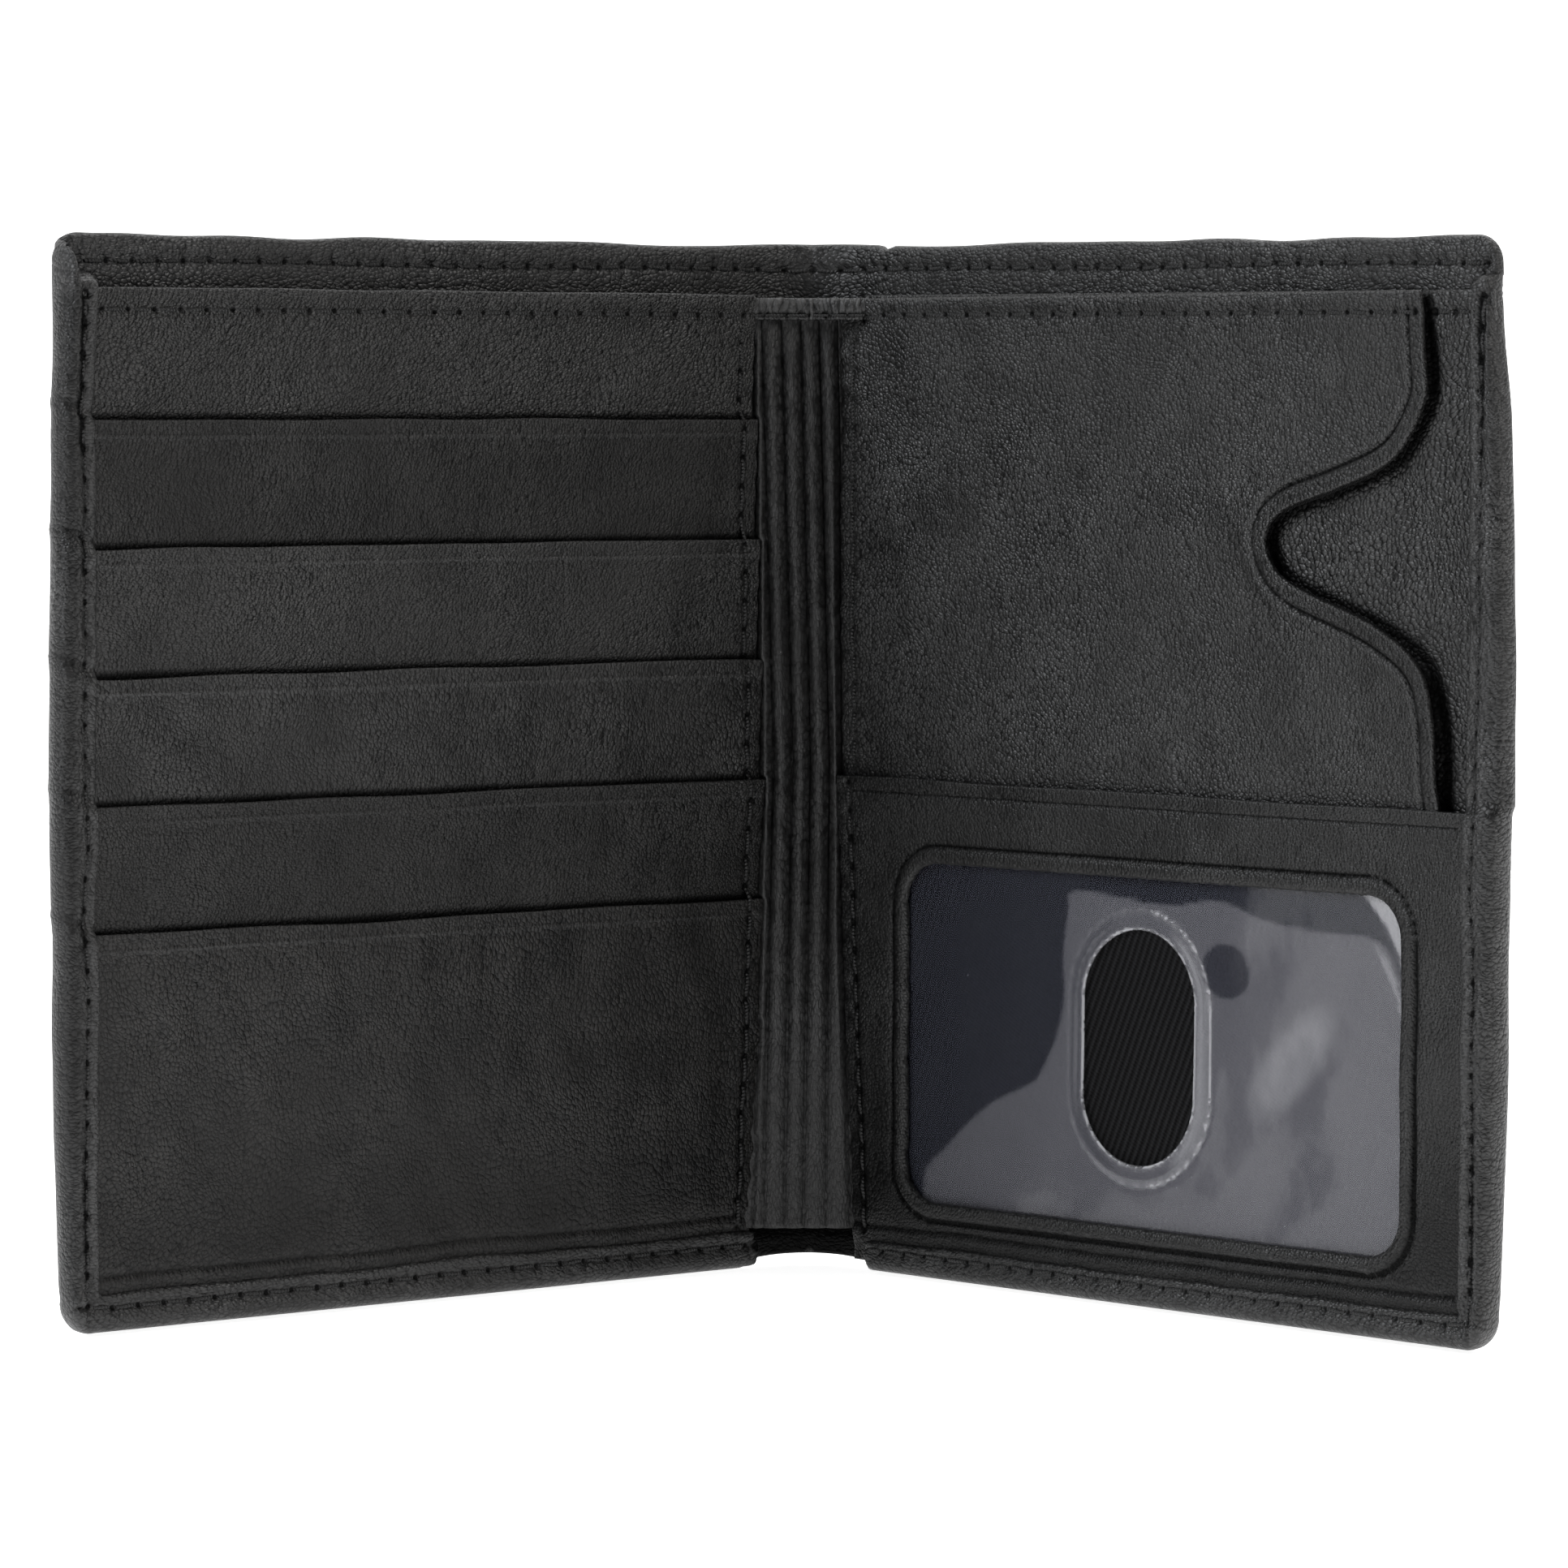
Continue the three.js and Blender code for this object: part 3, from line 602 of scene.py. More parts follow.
COVER_LOOK = leather("cover_leather", 0.017, 0.62, 0.7, 0.3, 0.16), "cover_leather"
CARD_LOOKS = [(leather(f"card_leather_{i}", *recipe), "panel_leather") for i, recipe in enumerate([
    (0.015, 0.50, 0.8, 1.1, 0.26, 0.42, 0.10, 0.02, 0.44), (0.011, 0.42, 1.1, 0.2, 0.18, 0.46, 0.14, 0.03, 0.34),
    (0.014, 0.46, 0.8, 0.1, 0.18, 0.43, 0.12, 0.02, 0.42), (0.014, 0.44, 1.2, 0.9, 0.17, 0.43, 0.14, 0.02, 0.42),
    (0.011, 0.42, 0.9, 0.3, 0.18, 0.45, 0.12, 0.03, 0.33), (0.010, 0.46, 1.2, 1.3, 0.15, 0.45, 0.10, 0.06, 0.33)])]
BASE_LOOK = leather("base_leather", 0.017, 0.60, 0.9, 0.3, 0.26, gloss=0.46), "panel_leather"
POCKET_LOOK = leather("pocket_leather", 0.017, 0.50, 0.9, 0.8, 0.20, 0.43, gloss=0.45), "panel_leather"
FRAME_LOOK = leather("id_frame_leather", 0.010, 0.42, 1.0, 0.2, 0.14, gloss=0.40), "panel_leather"
GUSSET_LOOK = leather("gusset_leather", 0.018, 0.34, 2.6, 0.0, 0.12, 0.55, 0.05), "gusset_leather"
BINDING_LOOK = leather("binding_leather", 0.026, 0.55, 3.0, 0.0, 0.30, 0.5, 0.15), "gusset_leather"
LINING_LOOK = woven("lining_weave", 0.012, 0.3), "lining_fabric"
TWILL_LOOK = woven("twill_weave", 0.008, 0.98, True, 0.15), "twill_fabric"
THREAD_LOOK = sewing_thread("thread_twist", 0.010), "thread"
BOARD_LOOK = pressed_board("board_fibre"), "stiffener_board"
FILM_LOOK = clear_film("clear_vinyl"), "clear_film"


# ---------------------------------------------------------------- the leaves' surfaces

def relief(side, u, z):
    """Slow unevenness that all layers of a leaf share."""
    seed = 11 if side < 0 else 23
    fade = smooth((u + 1) / 9)
    return fade * (0.13 * waves(u, z, 42, seed) + 0.05 * waves(u, z, 13, seed + 1))


def outer_edge(side, z):
    """u of the leaf's outer silhouette: straight at the corners, fuller half-way up."""
    low, full, high, corner = (-0.7, 0.8, -0.6, 0.7) if side < 0 else (-0.9, 1.2, -1.5, 1.7)
    t = np.clip(z / HEIGHT, 0, 1)
    return (LEAF_WIDTH + low + (high - low) * t - corner * smooth((z - 101) / 17)
            + full * np.sin(np.pi * t) ** 1.2 + 0.08 * waves(z, z * 0, 17, 5))


def spine_side(side, z):
    """u where the inner panels end towards the spine."""
    if side < 0:
        at = np.interp(z, [0, 5, 30, 58, 80, 113], [2.9, 2.7, 1.8, 1.5, 2.1, 2.9])
        return at + 0.45 * (((MOUTHS[0] - z) / PITCH) % 1) - 0.2
    return np.interp(z, [0, 5, 25, 45, 58, 80, 113], [2.0, 1.8, 0.6, -0.4, -1.2, -1.6, -1.7])


def card_surface(z, number):
    """v of the face of card strip `number` (0 is the top strip), without relief."""
    mouth = MOUTHS[0] + PITCH - number * PITCH
    slope = SLOPE if number < 5 else SLOPE * 0.42
    return CARD_FACE - (mouth - z) * slope


def panel_face(side, u, z):
    """v of whatever inner panel shows at this point."""
    if side > 0:
        return BASE_FACE + (FRAME_FACE - BASE_FACE) * smooth((ID_TOP - z) / 1.2 + 0.5)
    face = card_surface(z, 0)
    for k, mouth in enumerate(MOUTHS, 1):
        face = face + (card_surface(z, k) - face) * smooth((mouth - z) / 1.6 + 0.5)
    return face


def side_hem_line(side, z):
    """u of the inner edge of the side hem."""
    wobble = 0.12 * waves(z, z * 0, 21, 31 + side) + 0.05 * waves(z, z * 0, 6, 37 + side)
    if side < 0:
        wobble = wobble + 0.25 * sum(bell(z - m + 1.0, 2.0) for m in MOUTHS)
    return HEM_LINE + np.where((side > 0) & (z > ID_TOP), -0.1, 0.45) + wobble


def bottom_hem_line(side, u):
    """z of the upper edge of the bottom hem."""
    low = 4.5 if side < 0 else 3.9
    return low + 0.12 * waves(u, u * 0, 24, 41 + side) + 0.05 * waves(u, u * 0, 7, 43 + side)


def level(start, end, count, z):
    """A level row of points."""
    return pairs(np.linspace(start, end, count), np.full(count, z))


def holes_along(path, pitch=STITCH_PITCH):
    """Stitch holes at equal distances along a path."""
    run = run_of(path)
    at = np.linspace(0, run[-1], max(1, round(run[-1] / pitch)) + 1)
    return pairs(np.interp(at, run, path[:, 0]), np.interp(at, run, path[:, 1]))


def hem_stitch_path(side):
    zs = np.linspace(BOTTOM_STITCH + 0.6, 114.0, 60)
    return chain(level(3.9, SIDE_STITCH - 0.6, 40, BOTTOM_STITCH + (0.25 if side < 0 else 0.1)),
                 pairs(side_hem_line(side, zs) + 1.75, zs))


def row_dent(u, z, holes, groove=0.16, pit=0.34, swell=0.10):
    """How the surface gives along a row of stitches: a groove, pits at the holes, puckers."""
    points = pairs(u, z)
    out = np.zeros(len(points))
    near = ((points > holes.min(0) - 2.5) & (points < holes.max(0) + 2.5)).all(1)
    if not near.any():
        return out
    gap, along = distance(points[near], holes)
    step = np.linalg.norm(holes[1] - holes[0])
    phase = np.cos(2 * np.pi * along / step)
    hole_gap = np.hypot(gap, np.minimum(along % step, step - along % step))
    out[near] = (-groove * bell(gap, 0.5) * (0.75 + 0.25 * phase) - pit * bell(hole_gap, 0.36)
                 + swell * bell(gap - 0.95, 0.6) * (0.6 - 0.4 * phase))
    return out


def hole_dots(holes):
    """Extra points around each stitch hole and along the thread line."""
    rings = [(holes[:, None] + arc((0, 0), r, 0, 300, 5)).reshape(-1, 2) for r in (0.22, 0.5, 0.85)]
    return np.vstack([holes, (holes[:-1] + holes[1:]) / 2, *rings])


HEM_HOLES = {s: holes_along(hem_stitch_path(s)) for s in (LEFT, RIGHT)}
TOP_PATH = level(-HALF_ARC, LEAF_WIDTH - 4.5, 80, TOP_STITCH)
TOP_PATH[:, 1] += 0.12 * np.sin(TOP_PATH[:, 0] / 9)
TOP_HOLES = holes_along(TOP_PATH)


def hem_depth(side, u, z):
    """Signed distance into the hem that is folded over the inner panels."""
    top_end = 116.4 + 4.2 * smooth((u - SIDE_STITCH) / 1.2)
    side_part = np.minimum(u - side_hem_line(side, z), top_end - z)
    start = (2.0 if side < 0 else 4.2) + 0.25 * np.sin(z * 1.9)
    bottom_part = np.minimum(bottom_hem_line(side, u) - z, u - start)
    return np.maximum(side_part, bottom_part)


def corner_gathers(side, u, z):
    """Creases where the leather is gathered round the outer corners."""
    edge = outer_edge(side, z)
    out = np.zeros(len(u))
    for level, up in ((HEIGHT, -1), (0.0, 1)):
        du, dz = edge - 4.5 - u, (z - level) * up - 4.2
        radius, turn = np.hypot(du, dz), np.arctan2(-dz, -du)
        reach = smooth((6.0 - radius) / 3) * smooth((u - edge + 5.5) / 1.5) * smooth((6.5 - (z - level) * up) / 2)
        ripple = np.sin(turn * 11 + 2.0 * up + side + 0.5 * np.sin(radius * 2))
        out += 0.13 * reach * ripple
    return out


def cover_front(side):
    """v of the side of the cover that faces in: facing, hems, rolled edge."""
    def front(u, z):
        face = panel_face(side, u, z)
        inside_hem = hem_depth(side, u, z)
        edge = outer_edge(side, z)
        hem_line = side_hem_line(side, z)
        lip = np.maximum(face + 0.62, 2.3)
        roll_top = np.minimum(HEM_OUT, face + 1.55 + 0.5 * (side > 0) * (z > ID_TOP))
        low_roll = 0.55 * smooth((6 - z) / 3) * smooth((BOTTOM_STITCH - z) / 1.2 + 0.3)
        roll = lip + (roll_top - lip) * np.maximum(smooth((u - hem_line - 1.5) / 1.1), low_roll)
        outer = smooth((u - SIDE_STITCH + 0.3) / 1.3)
        near_top = smooth((z - 115.0) / 2.2) * (1 - outer)
        if side < 0:
            for mouth in MOUTHS:
                tilt = z - mouth - 0.35 * (u - HEM_LINE - 0.5)
                roll = roll - 0.40 * bell(tilt - 0.7, 0.40) + 0.28 * bell(tilt + 0.9, 1.0)
        over_facing = FACING_IN + 0.95 - 0.6 * smooth((z - 116.5) / 2.5)
        height = roll + (over_facing - roll) * near_top
        base = np.where((z > HEIGHT - 12) | ((u < 3.2) & (z < 4)), FACING_IN, COVER_IN)
        hem_low = np.minimum(face - 0.35, height - 0.4)
        hem_low = hem_low + (FACING_IN - 0.05 - hem_low) * near_top
        lifted = hem_low + (height - hem_low) * dome(inside_hem / 0.55)
        v = np.where(inside_hem > 0, lifted, base + (hem_low - base) * smooth(1 + inside_hem / 0.2))
        v = v + relief(side, u, z) * smooth((z - 1) / 3)
        flank = smooth((z - 3) / 3) * smooth((117 - z) / 3)
        v = v + flank * (0.12 * bell(u - edge + 3.1, 0.45) - 0.75 * smooth((u - edge + 2.9) / 2.6))
        v = v - 1.5 * outer * smooth((z - 114.5) / 5) + corner_gathers(side, u, z)
        hem_row = row_dent(u, z, HEM_HOLES[side], 0.26, 0.3, 0.12) * (1 - 0.5 * smooth(5 - z))
        v = v + np.where(inside_hem > -0.1, hem_row, 0)
        roll_edge = 0.16 * bell(z - 118.9, 0.8) * smooth((edge - u) / 4)
        tucks = 0.05 * np.sin(u * 5.1 + 1.3 * np.sin(u * 0.9)) * bell(z - 118.4, 1.3)
        v = v + np.where(z > 114, row_dent(u, z, TOP_HOLES, 0.16, 0.26, 0.08) + roll_edge + tucks, 0)
        crease = bell((u - edge + 2.6) * 0.87 + (z - 117.6) * 0.5, 0.33)
        v = v - 0.55 * crease * smooth((z - 114.6) / 1.2) * smooth((119.2 - z) / 0.8)
        fold = bell(z - 3.1 - 0.12 * (u - 95), 0.28) * smooth((u - SIDE_STITCH + 0.2) / 0.8) * smooth(edge - u)
        return v - (0.5 if side < 0 else 0.3) * fold
    return front


def cover_painted_light(side):
    """Painted light on the cover's hems: painted shade in the stitch groove, at the hem's inner edge, on its outer
    flank and over the pressed line above the bottom hem; painted highlights on the hem and on its ridge.
    """
    def tone(u, z):
        across = u - side_hem_line(side, z)
        past_ridge = u - outer_edge(side, z) + 3.0
        t = 0.6 * smooth(across / 0.3) + 1.2 * bell(past_ridge, 0.5) - 1.4 * smooth((past_ridge - 0.5) / 0.6)
        t = t - 2.4 * bell(across - 1.75, 0.42) + 0.5 * bell(across - 0.8, 0.5) - 2.0 * bell(across + 0.02, 0.24)
        t = (t + 0.4 * (side > 0) * smooth(past_ridge + 3)) * smooth((z - 5) / 3) * smooth((115.5 - z) / 2)
        low = smooth((u - 5) / 2) * smooth((93 - u) / 2)
        t = t - 0.5 * low * bell(z - bottom_hem_line(side, u) + 1.75, 0.4)
        # painted shade in the hollow at the foot of the spine, under the gusset
        return t - 2.5 * smooth((3.4 - u) / 0.8) * smooth((9 - z) / 3)
    return tone


def cover_back(side):
    def back(u, z):
        dents = row_dent(u, z, HEM_HOLES[side], 0.3, 0.6, 0.1) + row_dent(u, z, TOP_HOLES, 0.3, 0.6, 0.1)
        return COVER_OUT + 0.6 * relief(side, u, z) - 0.35 * dents - 0.25 * corner_gathers(side, u, z)
    return back


def cover_seam(u, z, top, bottom):
    side_face = smooth((u - LEAF_WIDTH + 5) / 3) * smooth((118 - z) / 16)
    return (top + bottom) / 2 + side_face * ((top - bottom) / 2 - 1.7)


def cover_back_rim(u, z):
    return 0.8 + 3.2 * smooth((u - LEAF_WIDTH + 8) / 4) * smooth((118 - z) / 16)


def cover_rim(p):
    u, z = p.T
    return np.where((z < 3) & (u < 3.6), 0.55, np.where((z > HEIGHT - 4) & (u < LEAF_WIDTH - 3), 0.85, 1.2))


def cover_outline(side):
    """Outline of half of the cover, from the middle of the spine to the outer edge."""
    r, peak = 3.2, HEIGHT + 0.75
    arch = level(-HALF_ARC, 4.5, 20, 1.0)
    arch[:, 1] -= ((arch[:, 0] + HALF_ARC) / (HALF_ARC + 4.5)) ** 2
    zs = np.linspace(r, peak - r, 150)
    edge = pairs(outer_edge(side, zs), zs)
    low, high = edge[0, 0] - r, edge[-1, 0] - r
    top = line((high, peak), (-HALF_ARC, peak), 0.7)
    us = top[:, 0]
    nick = 0.0 if side < 0 else 0.45
    top[:, 1] -= nick * bell(us - 3.4, 0.7) + 0.12 * (1 + waves(us, 0 * us, 22, 61)) * smooth((high - us) / 4)
    centre = line((-HALF_ARC, peak), (-HALF_ARC, 1.0), 0.8)[1:-1]
    centre[0, 1] = min(centre[0, 1], top[-1, 1] - 0.3)
    return chain(arch, line((4.5, 0), (low, 0), 0.7), arc((low, r), r, -90, 0, 9), edge,
                 arc((high, peak - r), r, 0, 90, 9), top, centre)


def cover_half(side):
    zs, us = np.linspace(4.6, 115.2, 190), np.linspace(0.8, 92.6, 170)
    steep = (-0.6, -0.3, -0.12, 0.0, 0.1, 0.22, 0.45)
    hem_start = 3.1 + side * 1.1
    spine_middle = pairs(np.full(200, -HALF_ARC + 0.15), np.linspace(1.7, HEIGHT - 0.8, 200))
    lines = [(pairs(side_hem_line(side, zs), zs), steep), (pairs(us, bottom_hem_line(side, us)), steep),
             (line((hem_start, 0.8), (hem_start, 4.4), 0.3), (-0.45, -0.2, 0, 0.2, 0.45)),
             (line((SIDE_STITCH, 116.4), (HEM_LINE, 116.4), 0.3), (-0.4, -0.2, 0, 0.2)),
             (line((94.2, 115.4), (97, 119.4), 0.3), (-0.5, -0.25, 0, 0.25, 0.5)),
             (line((94.2, 3.1), (97.2, 3.3), 0.3), (-0.4, -0.2, 0, 0.2, 0.4)), (spine_middle, (0.0, -0.2))]
    ob = slab(f"leather_cover_{SUFFIX[side]}", cover_outline(side), cover_front(side), cover_back(side), cover_xyz,
              COVER_LOOK, rim=cover_rim, cut=-HALF_ARC, lines=lines, step=0.85, side=side, cap=False,
              dots=np.vstack([hole_dots(HEM_HOLES[side]), hole_dots(TOP_HOLES)]), seam=cover_seam,
              back_rim=cover_back_rim, tone=cover_painted_light(side))
    bend(ob, side)
    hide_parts(f"cover_{SUFFIX[side]}", "cover_spine")


def bend(ob, side):
    """Bakes the transform of a piece that crosses the fold into its mesh."""
    end = leaf_xyz(side, 8.0, 0.0, 60.0) / 1000
    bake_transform(ob)


# ---------------------------------------------------------------- stitches

ROUND = np.linspace(0, 2 * math.pi, 8, endpoint=False)


def tubes(name, stitches, side):
    """Closed tubes of eight points round. A stitch is its points, ring by ring, and its rest."""
    faces, start = [], 0
    for points, _ in stitches:
        ids = start + np.arange(len(points)).reshape(-1, 8)
        ahead = np.roll(ids, -1, 1)
        made = pairs(ids[:-1], ids[1:], ahead[1:], ahead[:-1]).reshape(-1, 4).tolist()
        made += [ids[0].tolist(), ids[-1][::-1].tolist()]
        faces += [face[::side] for face in made]
        start += len(points)
    verts, rest = (np.vstack(part) for part in zip(*stitches))
    return make_object(name, verts, faces, rest, *THREAD_LOOK)


def stitch_row(name, holes, height, place, side):
    """Single stitches of twisted thread over a height function, each diving into its two holes."""
    made = []
    ts = np.array([0.0, 0.06, 0.16, 0.32, 0.5, 0.68, 0.84, 0.94, 1.0])
    ends = np.minimum(ts, 1 - ts)
    rng = np.random.default_rng(len(holes))
    for a, b in zip(holes[:-1], holes[1:]):
        length = np.linalg.norm(b - a)
        d = (b - a) / length
        n = np.array([-d[1], d[0]])
        slant = rng.uniform(-0.08, 0.08)
        path = a + d * (0.12 + ts * (length - 0.24))[:, None] + n * (slant * np.sin(ts * math.pi * 2))[:, None]
        v = height(path[:, 0], path[:, 1])
        lift = -0.42 + 0.50 * dome(ends / 0.22) + rng.uniform(-0.02, 0.02)
        v = np.interp(ts, [0, 0.5, 1], [v[0], v[4], v[-1]]) + lift
        size = (0.25 * (0.7 + 0.3 * dome(ends / 0.2)))[:, None]
        ring = path[:, None] + n * (size * np.cos(ROUND))[..., None]
        vv = v[:, None] + size * np.sin(ROUND) * 0.85
        points = place(side, ring[..., 0].ravel(), vv.ravel(), ring[..., 1].ravel())
        made.append((points, pairs(np.repeat(ts * length, 8), np.tile(ROUND, len(ts)),
                                   np.full(len(points), rng.uniform(0, 50)))))
    return tubes(name, made, side)


# ---------------------------------------------------------------- card side

def spine_row(side, top, bottom, inset=1.95):
    zs = np.linspace(top, bottom, 60)
    return pairs(spine_side(side, zs) + inset, zs)


CARD_ROW = holes_along(chain(level(HEM_LINE - 0.4, spine_side(LEFT, 112.0) + 1.6, 40, PANEL_STITCH),
                             spine_row(LEFT, PANEL_STITCH - 0.5, 5.2)))
POCKET_END = 86.0
POCKET_ROW = holes_along(chain(level(POCKET_END - 0.8, 2.6, 40, PANEL_STITCH),
                               spine_row(RIGHT, PANEL_STITCH - 1.8, ID_TOP + 0.9)))
ID_ROW = holes_along(spine_row(RIGHT, ID_TOP - 0.8, 4.8))
BASE_ROW = holes_along(level(POCKET_END + 0.9, HEM_LINE - 0.3, 5, PANEL_STITCH), 2.9)


def panel_marks(side, u, z):
    """Stitch dents and the pressed line over the bottom hem, common to the panels of a leaf."""
    rows = [CARD_ROW] if side < 0 else [POCKET_ROW, ID_ROW]
    out = sum(row_dent(u, z, row, 0.16, 0.26, 0.12) for row in rows)
    rise = z - bottom_hem_line(side, u)
    bead = 0.16 * bell(rise - 0.85, 0.55) - 0.22 * bell(rise - 1.75, 0.22)
    return out + bead * smooth((HEM_LINE - 1 - u) / 2 + 1)


def edge_pucker(side, u, z):
    """The strip beyond the spine-side stitches rises and falls between the holes."""
    return smooth((spine_side(side, z) + 1.9 - u) / 0.9) * (-0.08 + 0.12 * np.sin(2 * np.pi * z / STITCH_PITCH))


def row_painted_shade(row, u, z, low=8, high=108):
    # painted shade in the groove along a row of stitches, between heights low and high
    return -1.6 * bell(gap_to(row, u, z), 0.36) * (z > low) * (z < high)


def card_painted_light(number):
    mouth = [PANEL_TOP, *MOUTHS][number]

    def tone(u, z):
        down = mouth - z
        t = row_painted_shade(CARD_ROW, u, z)
        if number < 5:
            # painted shade inside the slot and on the strip just above the next strip's mouth
            t = t - 1.5 * smooth(MOUTHS[number] - z + 1.1)
        if number:
            # painted highlight on the strip's folded lip and a bright painted line on the pressed line under it, with
            # a thin line of painted shade between
            t = t + 0.55 * smooth((1.6 - down) / 0.2) + 3.4 * bell(down - 1.87, 0.17) - 0.5 * bell(down - 1.58, 0.12)
        # painted shade towards the bottom of the lowest strip
        return t - 0.55 * (number == 5) * smooth((32 - z) / 24)
    return tone


def card_face(number):
    mouth, seed = [PANEL_TOP, *MOUTHS][number], 70 + number

    def face(u, z):
        v = card_surface(z, number) + relief(LEFT, u, z) + panel_marks(LEFT, u, z) + edge_pucker(LEFT, u, z)
        down = mouth - z
        if number == 0:
            return v + 0.26 * bell(down - 1.1, 1.0) - 0.06
        past_line = down - 1.75 - 0.08 * waves(u, 0 * u, 30, seed)
        v = v + 0.06 * smooth(0.5 - past_line / 0.3) - 0.06 * bell(past_line + 0.12, 0.14)
        v = v + 0.13 * bell(past_line - 0.12, 0.17)
        return v + 0.12 * smooth((12 - down) / 10) * bell(u - 48, 34) + 0.06 * waves(u, z, 9, seed) * smooth(down / 3)
    return face


def panel_outline(side, bottom, top, sway=0.0, seed=0):
    """Outline of a panel between two heights, from its spine-side edge out to under the hem."""
    end = PANEL_END - 1.2
    zs = np.arange(bottom, top, 0.6)
    inner = pairs(spine_side(side, zs), zs)[::-1]
    us = np.arange(spine_side(side, top), end, 0.7)
    upper = pairs(us, top + sway * waves(us, 0 * us, 26, seed))[::-1]
    return chain(line((inner[-1, 0], bottom), (end, bottom), 0.9), line((end, bottom), (end, top), 0.9)[1:-1],
                 upper, inner[:-1])


def panel_lines(side, fold, over_hem):
    """Close points along the line pressed under a panel's upper fold, and along the one over the hem."""
    us = np.arange(4 if side < 0 else 2, HEM_LINE + 0.5 * (side < 0), 0.6)
    return ([(pairs(us, np.full(len(us), fold)), (-0.35, -0.12, 0, 0.12, 0.35))] if fold else []) + (
        [(pairs(us, bottom_hem_line(side, us) + 1.75), (-0.3, 0, 0.3))] if over_hem else [])


def card_strip(number):
    node = f"card_slot_{number}" if number else "card_panel"
    (_, _, bottom), (_, _, top) = leaf_box(node)
    face, dots = card_face(number), hole_dots(CARD_ROW)
    ob = slab(f"leather_{node}", panel_outline(LEFT, bottom, top, 0.10 if number else 0.06, 50 + number), face,
              lambda u, z: face(u, z) - STRIP, leaf_xyz, CARD_LOOKS[number], rim=0.26,
              lines=panel_lines(LEFT, number and top - 1.75, number == 5),
              dots=dots[(dots[:, 1] > bottom + 0.5) & (dots[:, 1] < top - 0.3)], step=0.75, side=LEFT,
              tone=card_painted_light(number))
    on_leaf(ob, LEFT, node)


# ---------------------------------------------------------------- pocket side

FREE_EDGE = spline([(POCKET_END, PANEL_TOP), (86.4, 111), (86.9, 107), (86.6, 102.6), (82.6, 96.6), (74.8, 93.2),
                    (67.8, 91.0), (64.9, 88.9), (64.9, 86.0), (68.2, 82.6), (80.0, 78.3), (86.5, 74.2), (88.7, 68.4),
                    (89.3, 59.2), (89.5, 52.0)], 0.45)


def pocket_edge_tone_and_painted_light(u, z):
    gap = gap_to(FREE_EDGE, u, z)
    # darker on the bead along the free edge, painted shade in the groove beside it, and a painted highlight line
    # beyond
    return -0.75 * smooth((2.4 - gap) / 0.4) - 0.5 * bell(gap - 2.35, 0.2) + 0.5 * bell(gap - 2.9, 0.35)


def pocket_face(u, z):
    gap = gap_to(FREE_EDGE, u, z)
    bead = 0.42 * smooth((2.2 - gap) / 0.5) - 0.30 * bell(gap - 2.35, 0.25) + 0.12 * bell(gap - 3.1, 0.5)
    lift = 0.75 * bell(u - 89, 9) * bell(z - 68, 12)
    lift = lift + 0.55 * bell(gap, 4.5) * smooth((z - 58) / 4) * smooth((113 - z) / 6)
    hem = 0.26 * bell(PANEL_TOP - z - 1.1, 1.0)
    v = POCKET_FACE + relief(RIGHT, u, z) + panel_marks(RIGHT, u, z) + bead + lift + hem
    return v + edge_pucker(RIGHT, u, z) + 0.10 * waves(u, z, 16, 91)


def base_face(u, z):
    v = BASE_FACE + relief(RIGHT, u, z) + 0.22 * bell(PANEL_TOP - z - 1.1, 1.0)
    return v + row_dent(u, z, BASE_ROW, 0.2, 0.3, 0.1) + 0.05 * waves(u, z, 8, 93)


def window_box():
    """Left, right, bottom, top of the ID window, read off the frame's inner faces."""
    u, _, z = leaf_points("id_window_frame").T
    within = (u > 6) & (u < PANEL_END - 6) & (z > PANEL_BOTTOM + 3) & (z < ID_TOP - 5)
    return u[within].min(), u[within].max(), z[within].min(), z[within].max()


WINDOW = window_box()
WINDOW_LOOP = rounded(*WINDOW, 4.8)
THUMB_LOOP = rounded(37.6, 54.0, 16.0, 42.8, 8.19, 0.5)


def frame_edge_and_painted_shade(u, z):
    gap = gap_to(WINDOW_LOOP, u, z, True)
    # painted shade along the stitch row and in the groove round the window bead; the window's cut edge is lighter
    t = row_painted_shade(ID_ROW, u, z, 3, 52) + 1.4 * bell(gap, 0.2) - 0.6 * bell(gap - 2.15, 0.3)
    # a little darker all over, and painted shade towards the bottom
    return t - 0.15 - 0.75 * smooth((34 - z) / 24)


def frame_face(u, z):
    gap = gap_to(WINDOW_LOOP, u, z, True)
    bead = 0.30 * smooth(gap / 0.4) * smooth((2.0 - gap) / 0.5) - 0.20 * bell(gap - 2.15, 0.22)
    down = ID_TOP - z
    fold = 0.10 * smooth((1.7 - down) / 0.3 + 0.5) - 0.20 * bell(down - 1.7, 0.16)
    scratch = -0.07 * bell(u - 52.4 - 0.1 * np.sin(z), 0.16) * smooth(z - 50.5)
    v = FRAME_FACE + relief(RIGHT, u, z) + panel_marks(RIGHT, u, z) + bead + fold + scratch
    return v + edge_pucker(RIGHT, u, z) + 0.05 * waves(u, z, 14, 95)


def film_face(u, z):
    gap = gap_to(THUMB_LOOP, u, z, True)
    rim = 0.10 * bell(gap - 0.35, 0.3) + 0.16 * bell(gap - 1.55, 0.55) - 0.05 * bell(gap - 2.5, 0.3)
    return FILM_FACE + relief(RIGHT, u, z) * 0.8 + rim + 0.10 * waves(u, z, 30, 97) - 0.05


